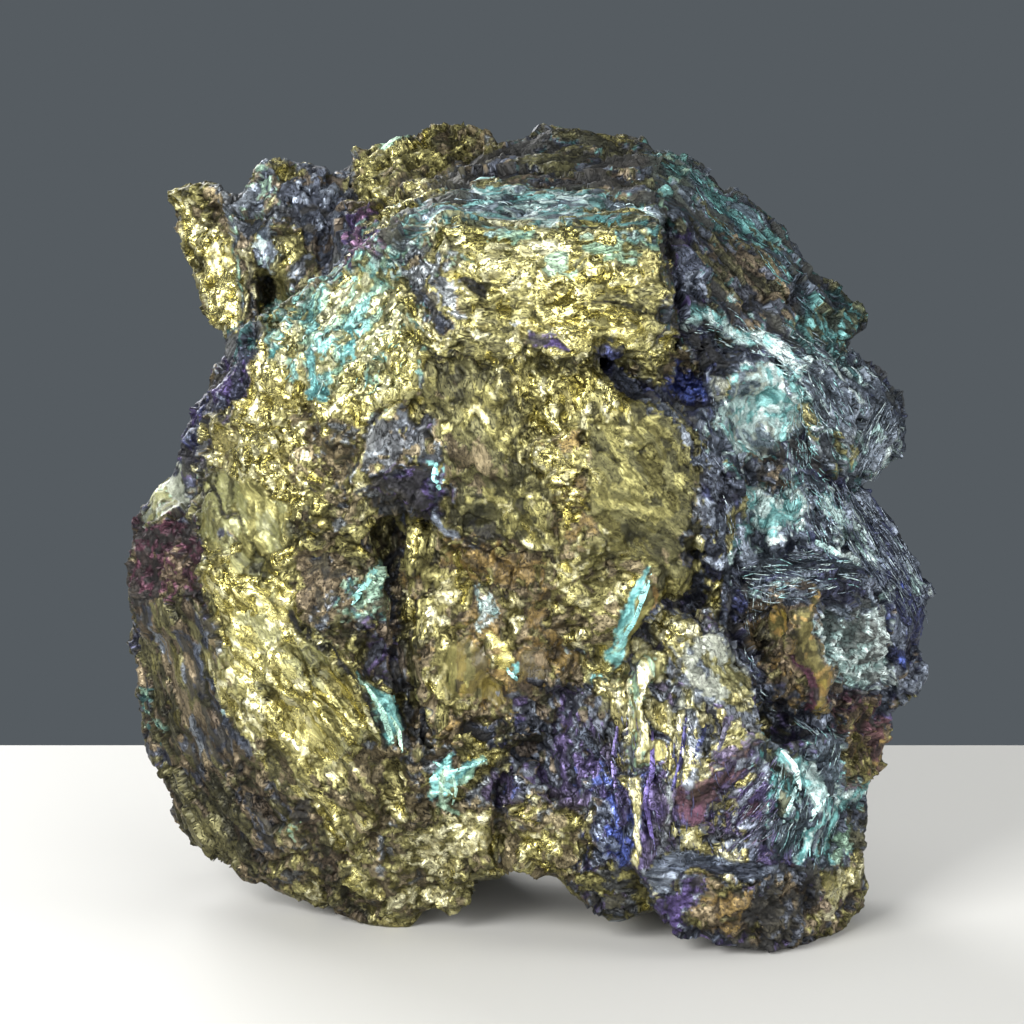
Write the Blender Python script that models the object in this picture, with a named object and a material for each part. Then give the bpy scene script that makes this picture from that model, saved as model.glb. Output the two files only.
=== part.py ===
"""A covellite specimen: one broken lump of copper sulphide ore that leans back a little on small feet.

Every corner is measured on the broken front face: across to the right, up along the face, and out
towards the front, in millimetres from the middle of the face. The face leans back by LEAN_DEG, and
corners are given as they are seen from VIEW_DISTANCE_MM straight in front of it.
"""

import math
from dataclasses import dataclass

import bmesh
import bpy
import numpy as np

NODE_NAME = "covellite"
METRES_PER_MM = 0.001

# How the face stands, and where its corners are seen from
LEAN_DEG = 13.0
VIEW_DISTANCE_MM = 287.5
VIEW_ACROSS_MM = -1.0
VIEW_UP_MM = 1.56

# Where the middle of the face lies from the origin, which is on the ground below the middle of the stone
FACE_MIDDLE_MM = (0.06, -2.58, 21.05)
# Corners this near the ground are set on it before the feet are cut flat
FOOT_SNAP_MM = 0.1

# Fineness of the fused body, and how many faces are left of it
FUSE_VOXEL_MM = 0.34
FACE_BUDGET = 9700

# Hackly fracture: blocks of this size, each broken off at its own slant
COARSE_BREAK_MM = 4.2
COARSE_SLANT = 0.11
FINE_BREAK_MM = 1.8
FINE_SLANT = 0.10
BREAK_SEED = 29

# A blade's crest and base as shares of its half width, and how deep its base lies below the crest
BLADE_CREST = 0.45
BLADE_BASE = 1.3
BLADE_ROOT_MM = 2.5

# Beds that show as steps along the top ridge
BED_COUNT = 4
BED_RISE_MM = 1.05
BED_SETBACK_MM = 2.1


@dataclass(frozen=True)
class Lump:
    """One block of ore: the hull of a ring of outer corners and of its root, a ring inside the stone.

    The root is the ring drawn in to root_scale of its size, moved by root_shift and laid at root_out.
    """

    ring: tuple
    root_out: float
    root_scale: float = 0.88
    root_shift: tuple = (0.0, 0.0)


@dataclass(frozen=True)
class Groove:
    """A crack or seam that runs along a path on the front face, given as (across, up) points."""

    path: tuple
    width: float
    depth: float


@dataclass(frozen=True)
class Hollow:
    """A shallow bowl broken out of the front face."""

    across: float
    up: float
    half_width: float
    half_height: float
    depth: float


# The upper half, from the horn at the left to the roof at the right
UPPER_LUMPS = {
    "upper_block": Lump(
        (
            (-7.9, 17.1, 7.8), (-3.0, 17.5, 9.0), (7.0, 17.6, 9.6), (7.7, 13.3, 10.0),
            (7.2, 10.4, 9.8), (1.5, 10.2, 10.2), (-4.0, 10.1, 9.7), (-8.2, 9.2, 8.2),
        ),
        -6.0, 0.95, (0.0, 3.2),
    ),
    "gold_lump_behind": Lump(
        (
            (-11.0, 20.7, -7.0), (-9.2, 22.1, -7.6), (-7.4, 22.9, -8.0), (-4.9, 23.2, -8.0),
            (-2.2, 22.6, -7.6), (-2.6, 19.0, -4.5), (-7.0, 17.6, -3.6), (-10.4, 17.6, -4.6),
        ),
        -11.5, 0.8, (0.3, -2.0),
    ),
    "horn": Lump(
        (
            (-20.4, 19.4, -7.6), (-19.6, 19.9, -8.0), (-16.2, 19.8, -4.6), (-16.1, 12.2, -2.6),
            (-16.8, 11.8, -3.0), (-17.6, 12.2, -4.4), (-18.6, 13.7, -5.8), (-19.0, 15.4, -6.6),
            (-19.5, 17.1, -7.0),
        ),
        -11.0, 0.72, (3.4, -3.0),
    ),
    "horn_front": Lump(
        (
            (-16.3, 19.8, -4.8), (-14.8, 20.7, -5.2), (-14.2, 21.5, -5.8), (-13.9, 19.6, -4.0),
            (-14.5, 11.6, -1.8), (-16.4, 11.2, -2.2),
        ),
        -10.0, 0.85, (1.4, -2.4),
    ),
    "grey_slab": Lump(
        (
            (-14.3, 21.0, -5.8), (-13.6, 21.3, -6.0), (-11.3, 21.0, -5.8), (-10.2, 18.2, -3.6),
            (-10.1, 14.4, -0.8), (-12.2, 13.2, 0.2), (-13.8, 13.6, -0.8), (-13.9, 17.0, -2.6),
        ),
        -10.0, 0.9, (0.6, -2.0),
    ),
    "violet_step": Lump(
        ((-10.5, 18.4, -2.2), (-7.2, 18.6, -0.6), (-7.2, 16.9, 2.6), (-8.6, 15.2, 3.8), (-10.3, 14.2, 1.8)),
        -8.0,
    ),
    "roof": Lump(
        (
            (6.3, 21.9, -3.4), (9.5, 21.0, -5.0), (11.8, 19.1, -5.4), (13.5, 17.3, -5.2),
            (15.2, 15.5, -4.8), (17.5, 13.8, -4.2), (19.2, 12.1, -3.4), (17.5, 10.5, -1.6),
            (14.2, 10.5, 2.2), (9.8, 11.6, 5.0), (7.4, 12.6, 6.6), (7.2, 18.6, 3.4),
        ),
        -10.5, 0.75, (-1.8, -1.6),
    ),
}

# The left slab, its dark rim, and the flank and foot below it
LEFT_LUMPS = {
    "left_slab": Lump(
        (
            (-15.8, 11.8, 3.4), (-12.6, 13.3, 5.0), (-7.9, 17.0, 7.0), (-7.0, 9.4, 8.7),
            (-7.5, 3.4, 7.4), (-10.0, -1.6, 6.2), (-14.4, -3.2, 5.4), (-18.0, -2.6, 3.9),
            (-18.6, 1.4, 3.3), (-17.9, 5.4, 3.1),
        ),
        -5.0, 0.9, (0.6, -1.0),
    ),
    "neck": Lump(
        ((-16.7, 11.7, -3.6), (-17.2, 9.0, -1.4), (-15.4, 8.6, 2.2), (-15.4, 12.2, 0.4)),
        -8.0, 0.9, (0.8, -1.0),
    ),
    "violet_rim": Lump(
        (
            (-17.3, 9.8, -1.2), (-17.2, 8.2, 0.4), (-18.3, 6.2, 0.4), (-19.4, 4.9, 0.0),
            (-20.4, 3.3, -0.4), (-20.9, 2.2, -0.8), (-18.6, 0.8, 2.4), (-17.4, 5.0, 2.4),
        ),
        -7.0, 0.85, (1.4, -1.0),
    ),
    "maroon_lump": Lump(
        (
            (-22.0, 1.4, -1.2), (-22.3, 0.0, -1.0), (-22.3, -1.8, -1.0), (-22.2, -4.0, -1.8),
            (-20.6, -4.9, 0.6), (-18.7, -3.2, 2.6), (-18.5, 0.2, 2.8), (-20.4, 1.7, 1.2),
        ),
        -7.5, 0.85, (1.2, 0.0),
    ),
    "left_flank": Lump(
        (
            (-22.2, -4.0, -3.6), (-21.6, -6.7, -3.8), (-21.3, -9.6, -4.0), (-21.1, -13.3, -4.6),
            (-20.8, -14.5, -4.8), (-19.6, -16.8, -4.8), (-16.8, -18.0, -4.2), (-14.4, -17.2, -0.8),
            (-15.4, -13.0, 1.8), (-16.4, -9.6, 3.2), (-17.6, -3.4, 3.6), (-19.8, -4.4, 1.2),
        ),
        -10.5, 0.78, (2.0, 0.8),
    ),
    "lower_left_face": Lump(
        (
            (-17.6, -3.2, 4.1), (-13.2, -2.0, 5.9), (-8.6, 0.4, 6.2), (-8.2, -5.0, 5.6), (-7.8, -11.8, 5.3),
            (-7.0, -15.0, 4.5), (-5.0, -18.0, 2.9), (-8.0, -20.5, 0.9), (-11.4, -20.6, -1.6),
            (-15.9, -18.8, -3.4), (-16.2, -15.4, 0.0), (-16.3, -9.7, 3.6),
        ),
        -8.5, 0.85, (0.8, 1.0),
    ),
    "left_foot": Lump(
        (
            (-11.4, -17.6, 1.8), (-3.5, -17.4, 2.2), (-3.4, -19.0, 0.9), (-4.8, -20.6, 0.3),
            (-6.6, -21.9, -0.3), (-9.4, -21.7, -1.0), (-12.8, -20.4, -2.2),
        ),
        -5.0, 0.78, (0.0, 1.8),
    ),
    "waist": Lump(
        (
            (-7.5, -11.4, 5.2), (-1.0, -11.0, 4.8), (0.9, -13.4, 4.9), (-1.2, -18.7, 2.6),
            (-3.4, -19.0, 2.2), (-6.0, -17.6, 3.0),
        ),
        -6.0,
    ),
}

# The middle of the front: the lens-shaped face and the sunken ground below it
MIDDLE_LUMPS = {
    "pocket_ground": Lump(
        ((4.4, 10.4, 7.4), (9.4, 10.8, 5.6), (10.8, 7.4, 5.4), (8.4, 6.2, 6.2), (5.2, 8.4, 7.4)),
        -4.0,
    ),
    "lens_face": Lump(
        (
            (-7.2, 9.4, 8.7), (-1.0, 9.9, 9.2), (4.0, 9.7, 9.0), (6.6, 7.6, 7.7), (8.6, 6.4, 7.2),
            (9.2, 1.5, 6.9), (9.0, -1.6, 6.5), (6.9, -4.9, 6.2), (4.2, -7.0, 5.9), (-1.0, -3.6, 6.3),
            (-4.2, -0.2, 6.6), (-7.4, 3.2, 7.2), (0.6, 4.4, 9.3), (4.4, 3.4, 9.0), (3.2, -1.2, 8.2),
        ),
        -6.0,
    ),
    "seam_ground": Lump(
        ((9.6, -0.6, 5.5), (11.8, -3.2, 5.5), (4.2, -8.8, 4.9), (2.2, -7.6, 4.9)),
        -4.0,
    ),
    "cleft_ground": Lump(
        ((-8.8, 1.0, 4.4), (-6.4, 1.6, 4.8), (-5.0, -11.8, 4.2), (-8.0, -11.8, 4.2)),
        -4.0,
    ),
    "sunken_ground": Lump(
        (
            (-7.2, 1.4, 5.7), (-1.0, -2.0, 5.2), (2.0, -6.0, 4.9), (1.8, -11.2, 4.6),
            (-2.0, -11.6, 4.4), (-6.6, -11.5, 4.3),
        ),
        -6.0,
    ),
    "dark_knot": Lump(
        ((-8.5, 3.7, 7.7), (-6.6, 4.2, 8.4), (-4.8, 3.2, 8.0), (-4.6, 1.6, 7.3), (-8.2, 1.3, 7.0)),
        3.0, 0.9,
    ),
    "amber_crystal": Lump(
        ((-5.0, -5.2, 5.9), (-3.4, -4.8, 6.4), (-2.4, -5.4, 6.0), (-2.8, -9.6, 5.4), (-4.8, -9.4, 5.3)),
        3.0,
    ),
    "striped_crystal": Lump(
        ((-2.6, -4.5, 6.4), (-1.3, -4.3, 6.7), (-1.1, -7.4, 6.1), (-2.4, -7.6, 5.9)),
        3.0,
    ),
    "amber_tail": Lump(
        ((-1.0, -5.0, 6.3), (1.2, -4.8, 6.4), (1.4, -9.4, 5.4), (-0.8, -10.0, 5.2), (-1.6, -8.4, 5.6)),
        3.0,
    ),
    "dark_shelf": Lump(
        ((-3.8, -10.6, 6.0), (0.3, -10.5, 6.2), (0.4, -11.3, 5.9), (-3.8, -11.4, 5.7)),
        3.0,
    ),
}

# The right half: column, bulge, fin and knob above, blades and feet below
RIGHT_LUMPS = {
    "column": Lump(
        (
            (9.2, 10.4, 4.8), (14.0, 10.8, 2.8), (17.4, 10.6, 0.2), (17.6, 3.0, 1.8), (16.6, 0.0, 3.0),
            (17.0, -2.2, 3.2), (12.2, -3.0, 4.9), (11.8, 3.0, 4.9), (10.6, 7.4, 5.2),
        ),
        -6.5,
    ),
    "dark_rope": Lump(
        (
            (8.8, 7.5, 6.3), (10.4, 7.5, 6.9), (11.8, 3.6, 7.0), (12.3, -1.2, 6.3), (10.0, -1.8, 6.2),
            (9.5, 3.0, 6.9),
        ),
        0.0, 0.9,
    ),
    "fibrous_bulge": Lump(
        (
            (14.4, 10.7, 2.4), (17.4, 10.6, -0.4), (19.0, 9.7, -1.6), (20.4, 8.2, -1.8),
            (20.9, 6.6, -1.6), (20.8, 6.0, -1.4), (20.2, 5.0, -1.2), (18.9, 3.4, -0.4),
            (17.0, 2.8, 2.6), (15.6, 4.4, 4.4), (15.0, 8.0, 4.6), (17.8, 7.0, 2.6),
        ),
        -8.0, 0.85, (-1.0, 0.0),
    ),
    "fin": Lump(
        (
            (16.8, 3.4, 2.4), (18.9, 2.7, -0.8), (20.0, 0.6, -1.4), (21.5, -1.7, -1.6), (22.4, -3.2, -1.4),
            (22.3, -4.0, -1.2), (20.2, -2.8, 1.6), (18.2, -0.4, 2.8),
        ),
        -7.0, 0.85, (-1.6, 0.0),
    ),
    "knob": Lump(
        (
            (11.9, -3.0, 5.3), (14.0, -1.7, 5.6), (17.5, -1.2, 4.2), (20.5, -2.2, 1.8), (22.0, -4.0, -0.4),
            (21.9, -6.0, -1.0), (21.4, -8.0, -1.2), (20.5, -8.9, -0.8), (19.4, -9.8, 0.6),
            (16.6, -10.2, 3.8), (13.0, -8.7, 5.2), (11.7, -6.0, 5.4), (15.4, -4.4, 6.7), (18.2, -4.8, 5.0),
            (16.6, -8.0, 5.4),
        ),
        -7.0, 0.8, (-1.0, 0.5),
    ),
    "knob_strip": Lump(
        ((14.4, -3.4, 7.0), (16.0, -3.2, 6.9), (16.8, -9.2, 5.7), (15.6, -9.5, 5.7)),
        2.0, 0.9,
    ),
    "crevice_ground": Lump(
        (
            (11.6, -7.0, 4.4), (16.0, -8.4, 3.0), (19.2, -9.0, 0.0), (18.6, -12.6, 0.4), (15.0, -13.0, 3.4),
            (12.0, -12.6, 5.0),
        ),
        -7.0, 0.9, (-0.8, 0.0),
    ),
    "nub": Lump(
        (
            (16.6, -9.8, 2.4), (19.6, -9.8, -0.2), (20.1, -10.7, -1.0), (19.7, -12.2, -1.2),
            (18.9, -13.4, -0.6), (16.8, -13.2, 2.8), (18.2, -11.4, 2.0),
        ),
        -7.0, 0.82, (-1.0, 0.0),
    ),
    "flutes": Lump(
        (
            (12.4, -11.0, 6.2), (13.8, -11.6, 5.8), (15.8, -10.8, 4.2), (18.7, -12.7, 1.2),
            (18.8, -14.1, 0.2), (18.3, -14.5, 0.0), (18.5, -15.6, 0.0), (18.2, -17.6, 0.0),
            (13.4, -17.9, 5.4),
        ),
        -7.0, 0.85, (-0.8, 0.0),
    ),
    "bladed_mass": Lump(
        (
            (4.5, -7.2, 6.0), (8.0, -4.8, 6.3), (10.6, -4.0, 6.2), (11.8, -8.0, 6.5), (12.6, -11.0, 6.7),
            (13.8, -13.5, 6.2), (13.4, -17.6, 5.8), (8.0, -18.5, 6.5), (6.4, -18.2, 6.4),
            (2.8, -16.6, 5.6), (1.4, -12.0, 5.3), (2.6, -8.6, 5.6), (8.6, -12.0, 7.3),
        ),
        -6.0,
    ),
    "gold_cushion": Lump(
        (
            (-1.5, -14.6, 5.0), (0.6, -14.2, 5.7), (2.6, -14.4, 5.6), (2.9, -17.6, 5.1), (1.5, -18.7, 4.2),
            (-0.8, -18.6, 4.0), (-1.7, -17.0, 4.3),
        ),
        -2.0, 0.8,
    ),
    "arch_face": Lump(
        (
            (1.8, -18.0, 4.2), (6.8, -18.0, 5.4), (7.3, -21.0, 3.8), (5.1, -21.0, 3.0), (3.4, -20.7, 2.8),
            (1.9, -19.4, 3.0),
        ),
        -3.0, 0.85, (0.0, 0.4),
    ),
    "brown_foot": Lump(
        (
            (6.7, -18.0, 5.9), (10.4, -18.6, 7.0), (13.8, -18.2, 6.2), (12.9, -23.0, 5.2),
            (11.6, -22.9, 5.2), (9.6, -22.4, 4.9), (8.4, -21.9, 4.6), (7.3, -21.4, 4.2),
        ),
        -1.0, 0.85, (0.0, 2.2),
    ),
    "right_foot": Lump(
        (
            (12.6, -17.4, 5.2), (15.6, -18.4, 4.6), (18.1, -17.2, 0.8), (18.4, -18.8, 0.4),
            (18.3, -20.2, 0.4), (17.9, -21.5, 0.6), (16.6, -22.4, 1.6), (14.8, -23.0, 3.0),
            (12.9, -23.2, 4.8),
        ),
        -5.5, 0.85, (0.0, 2.4),
    ),
}

# The hidden back, broken into a few big faces
BACK_LUMPS = {
    "core": Lump(
        (
            (-13.5, 9.0, -9.6), (-6.0, 15.5, -10.4), (6.0, 14.8, -11.2), (13.0, 7.6, -9.6),
            (14.0, -4.0, -9.8), (10.0, -15.0, -9.6), (-2.0, -16.6, -10.4), (-12.0, -12.6, -10.4),
            (-16.0, -2.0, -9.4),
        ),
        4.0, 1.08,
    ),
    "back_left": Lump(
        (
            (-17.0, 6.0, -8.6), (-9.5, 9.0, -11.9), (-5.8, 0.6, -12.8), (-9.6, -9.0, -12.0),
            (-17.6, -9.4, -8.8),
        ),
        -3.0, 1.1,
    ),
    "back_top": Lump(
        (
            (-5.0, 18.6, -9.2), (4.6, 18.2, -10.2), (9.4, 12.0, -11.2), (0.4, 7.6, -13.0),
            (-6.4, 11.6, -11.6),
        ),
        -4.0, 1.08,
    ),
    "back_right": Lump(
        (
            (9.0, 9.4, -11.2), (15.4, 4.2, -8.2), (16.2, -5.4, -8.2), (11.4, -9.2, -11.2),
            (5.0, -2.2, -13.2), (4.0, 5.0, -12.6),
        ),
        -3.0, 1.08,
    ),
    "back_low_left": Lump(
        (
            (-13.4, -11.6, -10.4), (-5.2, -9.8, -12.8), (-2.0, -16.8, -11.6), (-5.4, -19.4, -11.2),
            (-9.6, -19.2, -10.0), (-13.2, -17.6, -8.0),
        ),
        -2.0, 1.0,
    ),
    "back_low_right": Lump(
        (
            (3.2, -8.0, -12.8), (11.4, -10.8, -11.4), (13.6, -17.6, -8.8), (9.8, -19.5, -10.4),
            (5.4, -19.3, -11.6), (2.0, -17.0, -12.0),
        ),
        -2.0, 1.0,
    ),
}

# Thin blades and ribs that stand out of the front: the two ends of the crest, and the half width
BLADES = (
    ((5.9, -6.4, 6.9), (6.3, -12.2, 7.5), 0.85),
    ((5.1, -13.2, 6.7), (6.5, -18.6, 7.0), 0.45),
    ((7.2, -14.0, 7.5), (7.9, -16.4, 7.5), 0.60),
    ((9.2, -15.2, 7.4), (9.8, -17.8, 7.2), 0.75),
    ((9.0, -14.0, 7.7), (13.0, -10.9, 7.2), 0.60),
    ((8.2, -9.2, 7.2), (8.8, -13.6, 7.7), 0.50),
    ((-13.2, -3.2, 6.3), (-9.5, -8.0, 6.6), 0.55),
    ((-9.7, -7.6, 6.6), (-7.9, -12.2, 6.2), 0.60),
    ((-14.0, -6.2, 5.6), (-9.2, -12.6, 6.1), 0.50),
    ((-6.3, 0.6, 6.0), (-5.9, -8.6, 5.4), 0.40),
    ((13.9, -12.8, 6.5), (14.6, -17.0, 5.4), 0.50),
    ((16.2, -13.4, 4.6), (15.2, -16.8, 4.8), 0.50),
    ((18.0, 8.2, 2.4), (20.0, 5.4, 0.4), 0.45),
)

GROOVES = (
    Groove(((4.1, 11.0), (5.3, 8.8), (7.3, 8.0), (9.9, 7.9), (10.6, 6.2)), 0.75, 1.5),
    Groove(((12.2, 5.2), (12.9, 2.3), (12.6, -1.0)), 0.70, 1.5),
    Groove(((11.0, -2.6), (7.3, -5.0), (4.4, -7.4), (1.7, -8.6)), 0.60, 0.9),
    Groove(((-8.0, 0.6), (-7.6, -3.9), (-6.9, -9.0), (-5.2, -11.7)), 0.70, 1.2),
    Groove(((-5.6, 19.5), (0.0, 20.3), (6.6, 20.0)), 0.35, 1.1),
    Groove(((-4.4, 20.9), (1.0, 21.4), (6.2, 21.2)), 0.35, 1.1),
    Groove(((-14.1, 16.8), (-14.5, 14.0), (-14.3, 11.9)), 0.55, 3.2),
    Groove(((-14.3, 12.3), (-12.0, 12.8)), 0.60, 1.6),
    Groove(((7.6, 17.8), (7.8, 14.0), (8.6, 12.2)), 0.50, 1.4),
    Groove(((-5.4, 10.0), (-1.0, 9.7), (4.0, 10.0)), 0.40, 0.8),
    Groove(((-3.6, 14.6), (-0.2, 13.9)), 0.45, 0.7),
    Groove(((-18.4, 0.8), (-14.8, -1.3)), 0.45, 0.8),
    Groove(((-17.6, 5.4), (-18.9, 2.2)), 0.45, 0.9),
    Groove(((11.6, -4.2), (11.4, -6.6), (12.6, -9.4), (15.0, -10.3)), 0.60, 1.6),
    Groove(((14.2, -0.9), (18.6, -0.9)), 0.50, 1.4),
    Groove(((2.6, -14.2), (2.9, -17.8)), 0.50, 1.0),
    Groove(((-1.2, -13.0), (-1.7, -18.0)), 0.60, 1.2),
)

HOLLOWS = (
    Hollow(12.5, 6.2, 2.3, 2.9, 2.1),
    Hollow(14.2, 2.4, 1.5, 1.4, 1.2),
    Hollow(8.6, 8.9, 1.1, 0.9, 1.8),
    Hollow(13.0, -5.4, 1.2, 2.6, 1.5),
    Hollow(-2.5, 0.6, 1.5, 1.3, 1.0),
    Hollow(4.2, -1.6, 1.6, 1.2, 0.7),
    Hollow(-8.4, -7.0, 1.1, 2.0, 1.3),
    Hollow(-0.8, -11.9, 1.0, 0.7, 0.9),
    Hollow(16.0, -12.6, 0.9, 1.1, 1.0),
)


def true_place(corners):
    """Corners as seen from the viewpoint, drawn in towards its axis by how far they stand out."""
    corners = np.array(corners, float)
    nearness = (VIEW_DISTANCE_MM - corners[:, 2:]) / VIEW_DISTANCE_MM
    axis = np.array((VIEW_ACROSS_MM, VIEW_UP_MM))
    corners[:, :2] = axis + (corners[:, :2] - axis) * nearness
    return corners


def lump_corners(lump):
    """The outer ring of a lump and its root ring."""
    ring = np.array(lump.ring, float)
    middle = ring[:, :2].mean(axis=0)
    root = np.empty_like(ring)
    root[:, :2] = middle + (ring[:, :2] - middle) * lump.root_scale + np.array(lump.root_shift)
    root[:, 2] = lump.root_out
    return true_place(np.vstack((ring, root)))


def blade_corners(start, end, half_width):
    """A long roof shape: a narrow crest from start to end and a wider base that lies in the stone."""
    start = np.array(start, float)
    end = np.array(end, float)
    along = (end - start)[:2]
    side = np.array((-along[1], along[0], 0.0)) / np.linalg.norm(along) * half_width
    deep = np.array((0.0, 0.0, -BLADE_ROOT_MM))
    corners = []
    for point in (start, end):
        for hand in (-1.0, 1.0):
            corners.append(point + side * BLADE_CREST * hand)
            corners.append(point + side * BLADE_BASE * hand + deep)
    return true_place(corners)


def bed_lumps():
    """The beds along the top ridge, each higher than the last one and set back behind it."""
    lumps = []
    for number in range(BED_COUNT):
        back = number * BED_SETBACK_MM
        top = 19.2 + number * BED_RISE_MM
        out = 3.4 - back
        left = -6.6 + number
        right = 7.4 - 0.3 * number
        ring = (
            (left, top - 1.6, out - 0.8), (left + 1.2, top - 0.2, out - 0.4),
            (right - 3.0, top + 0.25, out), (right, top + 0.1, out - 0.5),
            (right + 0.2, top - 2.4, out + 0.4), (left, top - 3.0, out + 0.2),
        )
        lumps.append(Lump(ring, -8.0 - 0.4 * number, 0.92, (0.0, -0.6)))
    return lumps


def add_hull(mesh, corners):
    """Adds the convex hull of these corners as one closed shell."""
    points = [mesh.verts.new(corner * METRES_PER_MM) for corner in corners]
    made = bmesh.ops.convex_hull(mesh, input=points)
    inside = {item for item in made["geom_interior"] if isinstance(item, bmesh.types.BMVert)}
    unused = {item for item in made["geom_unused"] if isinstance(item, bmesh.types.BMVert)}
    bmesh.ops.delete(mesh, geom=list(inside | unused), context="VERTS")


def apply_modifier(body, modifier):
    """Makes the modified shape the body's own mesh."""
    graph = bpy.context.evaluated_depsgraph_get()
    shaped = bpy.data.meshes.new_from_object(body.evaluated_get(graph))
    body.modifiers.remove(modifier)
    body.data = shaped


def fused_body():
    """All lumps and blades as overlapping shells, fused into one skin."""
    mesh = bmesh.new()
    named = {**UPPER_LUMPS, **LEFT_LUMPS, **MIDDLE_LUMPS, **RIGHT_LUMPS, **BACK_LUMPS}
    for lump in (*named.values(), *bed_lumps()):
        add_hull(mesh, lump_corners(lump))
    for start, end, half_width in BLADES:
        add_hull(mesh, blade_corners(start, end, half_width))
    bmesh.ops.recalc_face_normals(mesh, faces=mesh.faces)
    data = bpy.data.meshes.new(NODE_NAME)
    mesh.to_mesh(data)
    mesh.free()
    body = bpy.data.objects.new(NODE_NAME, data)
    bpy.context.scene.collection.objects.link(body)
    fuse(body)
    return body


def fuse(body):
    """Remeshes the body with small cubes, which joins overlapping shells and keeps it closed."""
    modifier = body.modifiers.new("Fuse", "REMESH")
    modifier.mode = "VOXEL"
    modifier.voxel_size = FUSE_VOXEL_MM * METRES_PER_MM
    apply_modifier(body, modifier)


def read_points(body):
    """The body's points in millimetres and their outward normals."""
    count = len(body.data.vertices)
    points = np.empty(count * 3)
    normals = np.empty(count * 3)
    body.data.vertices.foreach_get("co", points)
    body.data.vertices.foreach_get("normal", normals)
    return points.reshape(-1, 3) / METRES_PER_MM, normals.reshape(-1, 3)


def write_points(body, points):
    """Moves the body's points to these places in millimetres."""
    body.data.vertices.foreach_set("co", (points * METRES_PER_MM).ravel())
    body.data.update()


def seen_place(points):
    """Where points on the stone are seen on the face from the viewpoint: the reverse of true_place."""
    axis = np.array((VIEW_ACROSS_MM, VIEW_UP_MM))
    nearness = (VIEW_DISTANCE_MM - points[:, 2:]) / VIEW_DISTANCE_MM
    return axis + (points[:, :2] - axis) / nearness


def distance_to_path(places, path):
    """The distance of each place from the nearest run of a path."""
    nearest = np.full(len(places), np.inf)
    for first, second in zip(path, path[1:]):
        first = np.array(first)
        run = np.array(second) - first
        share = np.clip((places - first) @ run / (run @ run), 0.0, 1.0)
        nearest = np.minimum(nearest, np.linalg.norm(places - first - share[:, None] * run, axis=1))
    return nearest


def carve(body):
    """Sinks the grooves and hollows into the faces that look to the front."""
    points, normals = read_points(body)
    places = seen_place(points)
    facing = np.clip((normals[:, 2] + 0.1) / 0.5, 0.0, 1.0)
    sunk = np.zeros(len(points))
    for groove in GROOVES:
        share = distance_to_path(places, groove.path) / groove.width
        sunk = np.maximum(sunk, groove.depth * np.clip(1.0 - share * share, 0.0, None))
    for hollow in HOLLOWS:
        across = (places[:, 0] - hollow.across) / hollow.half_width
        up = (places[:, 1] - hollow.up) / hollow.half_height
        sunk = np.maximum(sunk, hollow.depth * np.clip(1.0 - across * across - up * up, 0.0, None))
    points[:, 2] -= sunk * facing
    write_points(body, points)


def broken_blocks(points, size, slant, seed):
    """How far each point moves out where rock breaks into blocks of this size.

    Space is shared out among scattered block centres, one to each cube of a lattice. Every block is
    broken off along its own slanted plane, so the surface steps at the borders between blocks.
    """
    cells = np.floor(points / size).astype(int)
    lowest = cells.min(axis=0) - 1
    spread = cells.max(axis=0) - lowest + 2
    random = np.random.default_rng(seed)
    centres = random.random((*spread, 3))
    slants = random.normal(0.0, slant, (*spread, 3))
    nearest = np.full(len(points), np.inf)
    moved = np.zeros(len(points))
    for step in np.ndindex(3, 3, 3):
        lattice = cells + np.array(step) - 1
        place = tuple((lattice - lowest).T)
        offset = points - (lattice + centres[place]) * size
        distance = (offset * offset).sum(axis=1)
        closer = distance < nearest
        nearest[closer] = distance[closer]
        moved[closer] = (offset * slants[place]).sum(axis=1)[closer]
    return moved


def roughen(body):
    """Breaks the smooth skin into coarse and fine blocks along its own normals."""
    points, normals = read_points(body)
    moved = broken_blocks(points, COARSE_BREAK_MM, COARSE_SLANT, BREAK_SEED)
    moved += broken_blocks(points, FINE_BREAK_MM, FINE_SLANT, BREAK_SEED + 1)
    write_points(body, points + normals * moved[:, None])


def keep_largest_shell(body):
    """Deletes every loose crumb, so that one closed shell is left."""
    mesh = bmesh.new()
    mesh.from_mesh(body.data)
    unvisited = set(mesh.faces)
    shells = []
    while unvisited:
        front = [unvisited.pop()]
        shell = list(front)
        while front:
            face = front.pop()
            linked = {other for edge in face.edges for other in edge.link_faces} & unvisited
            unvisited -= linked
            front.extend(linked)
            shell.extend(linked)
        shells.append(shell)
    shells.sort(key=len)
    crumbs = [face for shell in shells[:-1] for face in shell]
    bmesh.ops.delete(mesh, geom=crumbs, context="FACES")
    mesh.to_mesh(body.data)
    mesh.free()


def thin_out(body):
    """Merges faces until only FACE_BUDGET are left, sparing the sharp edges."""
    modifier = body.modifiers.new("Thin out", "DECIMATE")
    modifier.ratio = FACE_BUDGET / (2 * len(body.data.polygons))
    modifier.use_collapse_triangulate = True
    apply_modifier(body, modifier)


def stand_up(body):
    """Leans the face back and puts its middle in its place above the ground."""
    points, _ = read_points(body)
    lean = math.radians(LEAN_DEG)
    across, up, out = points.T
    depth = up * math.sin(lean) - out * math.cos(lean)
    height = up * math.cos(lean) + out * math.sin(lean)
    write_points(body, np.column_stack((across, depth, height)) + np.array(FACE_MIDDLE_MM))


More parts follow.
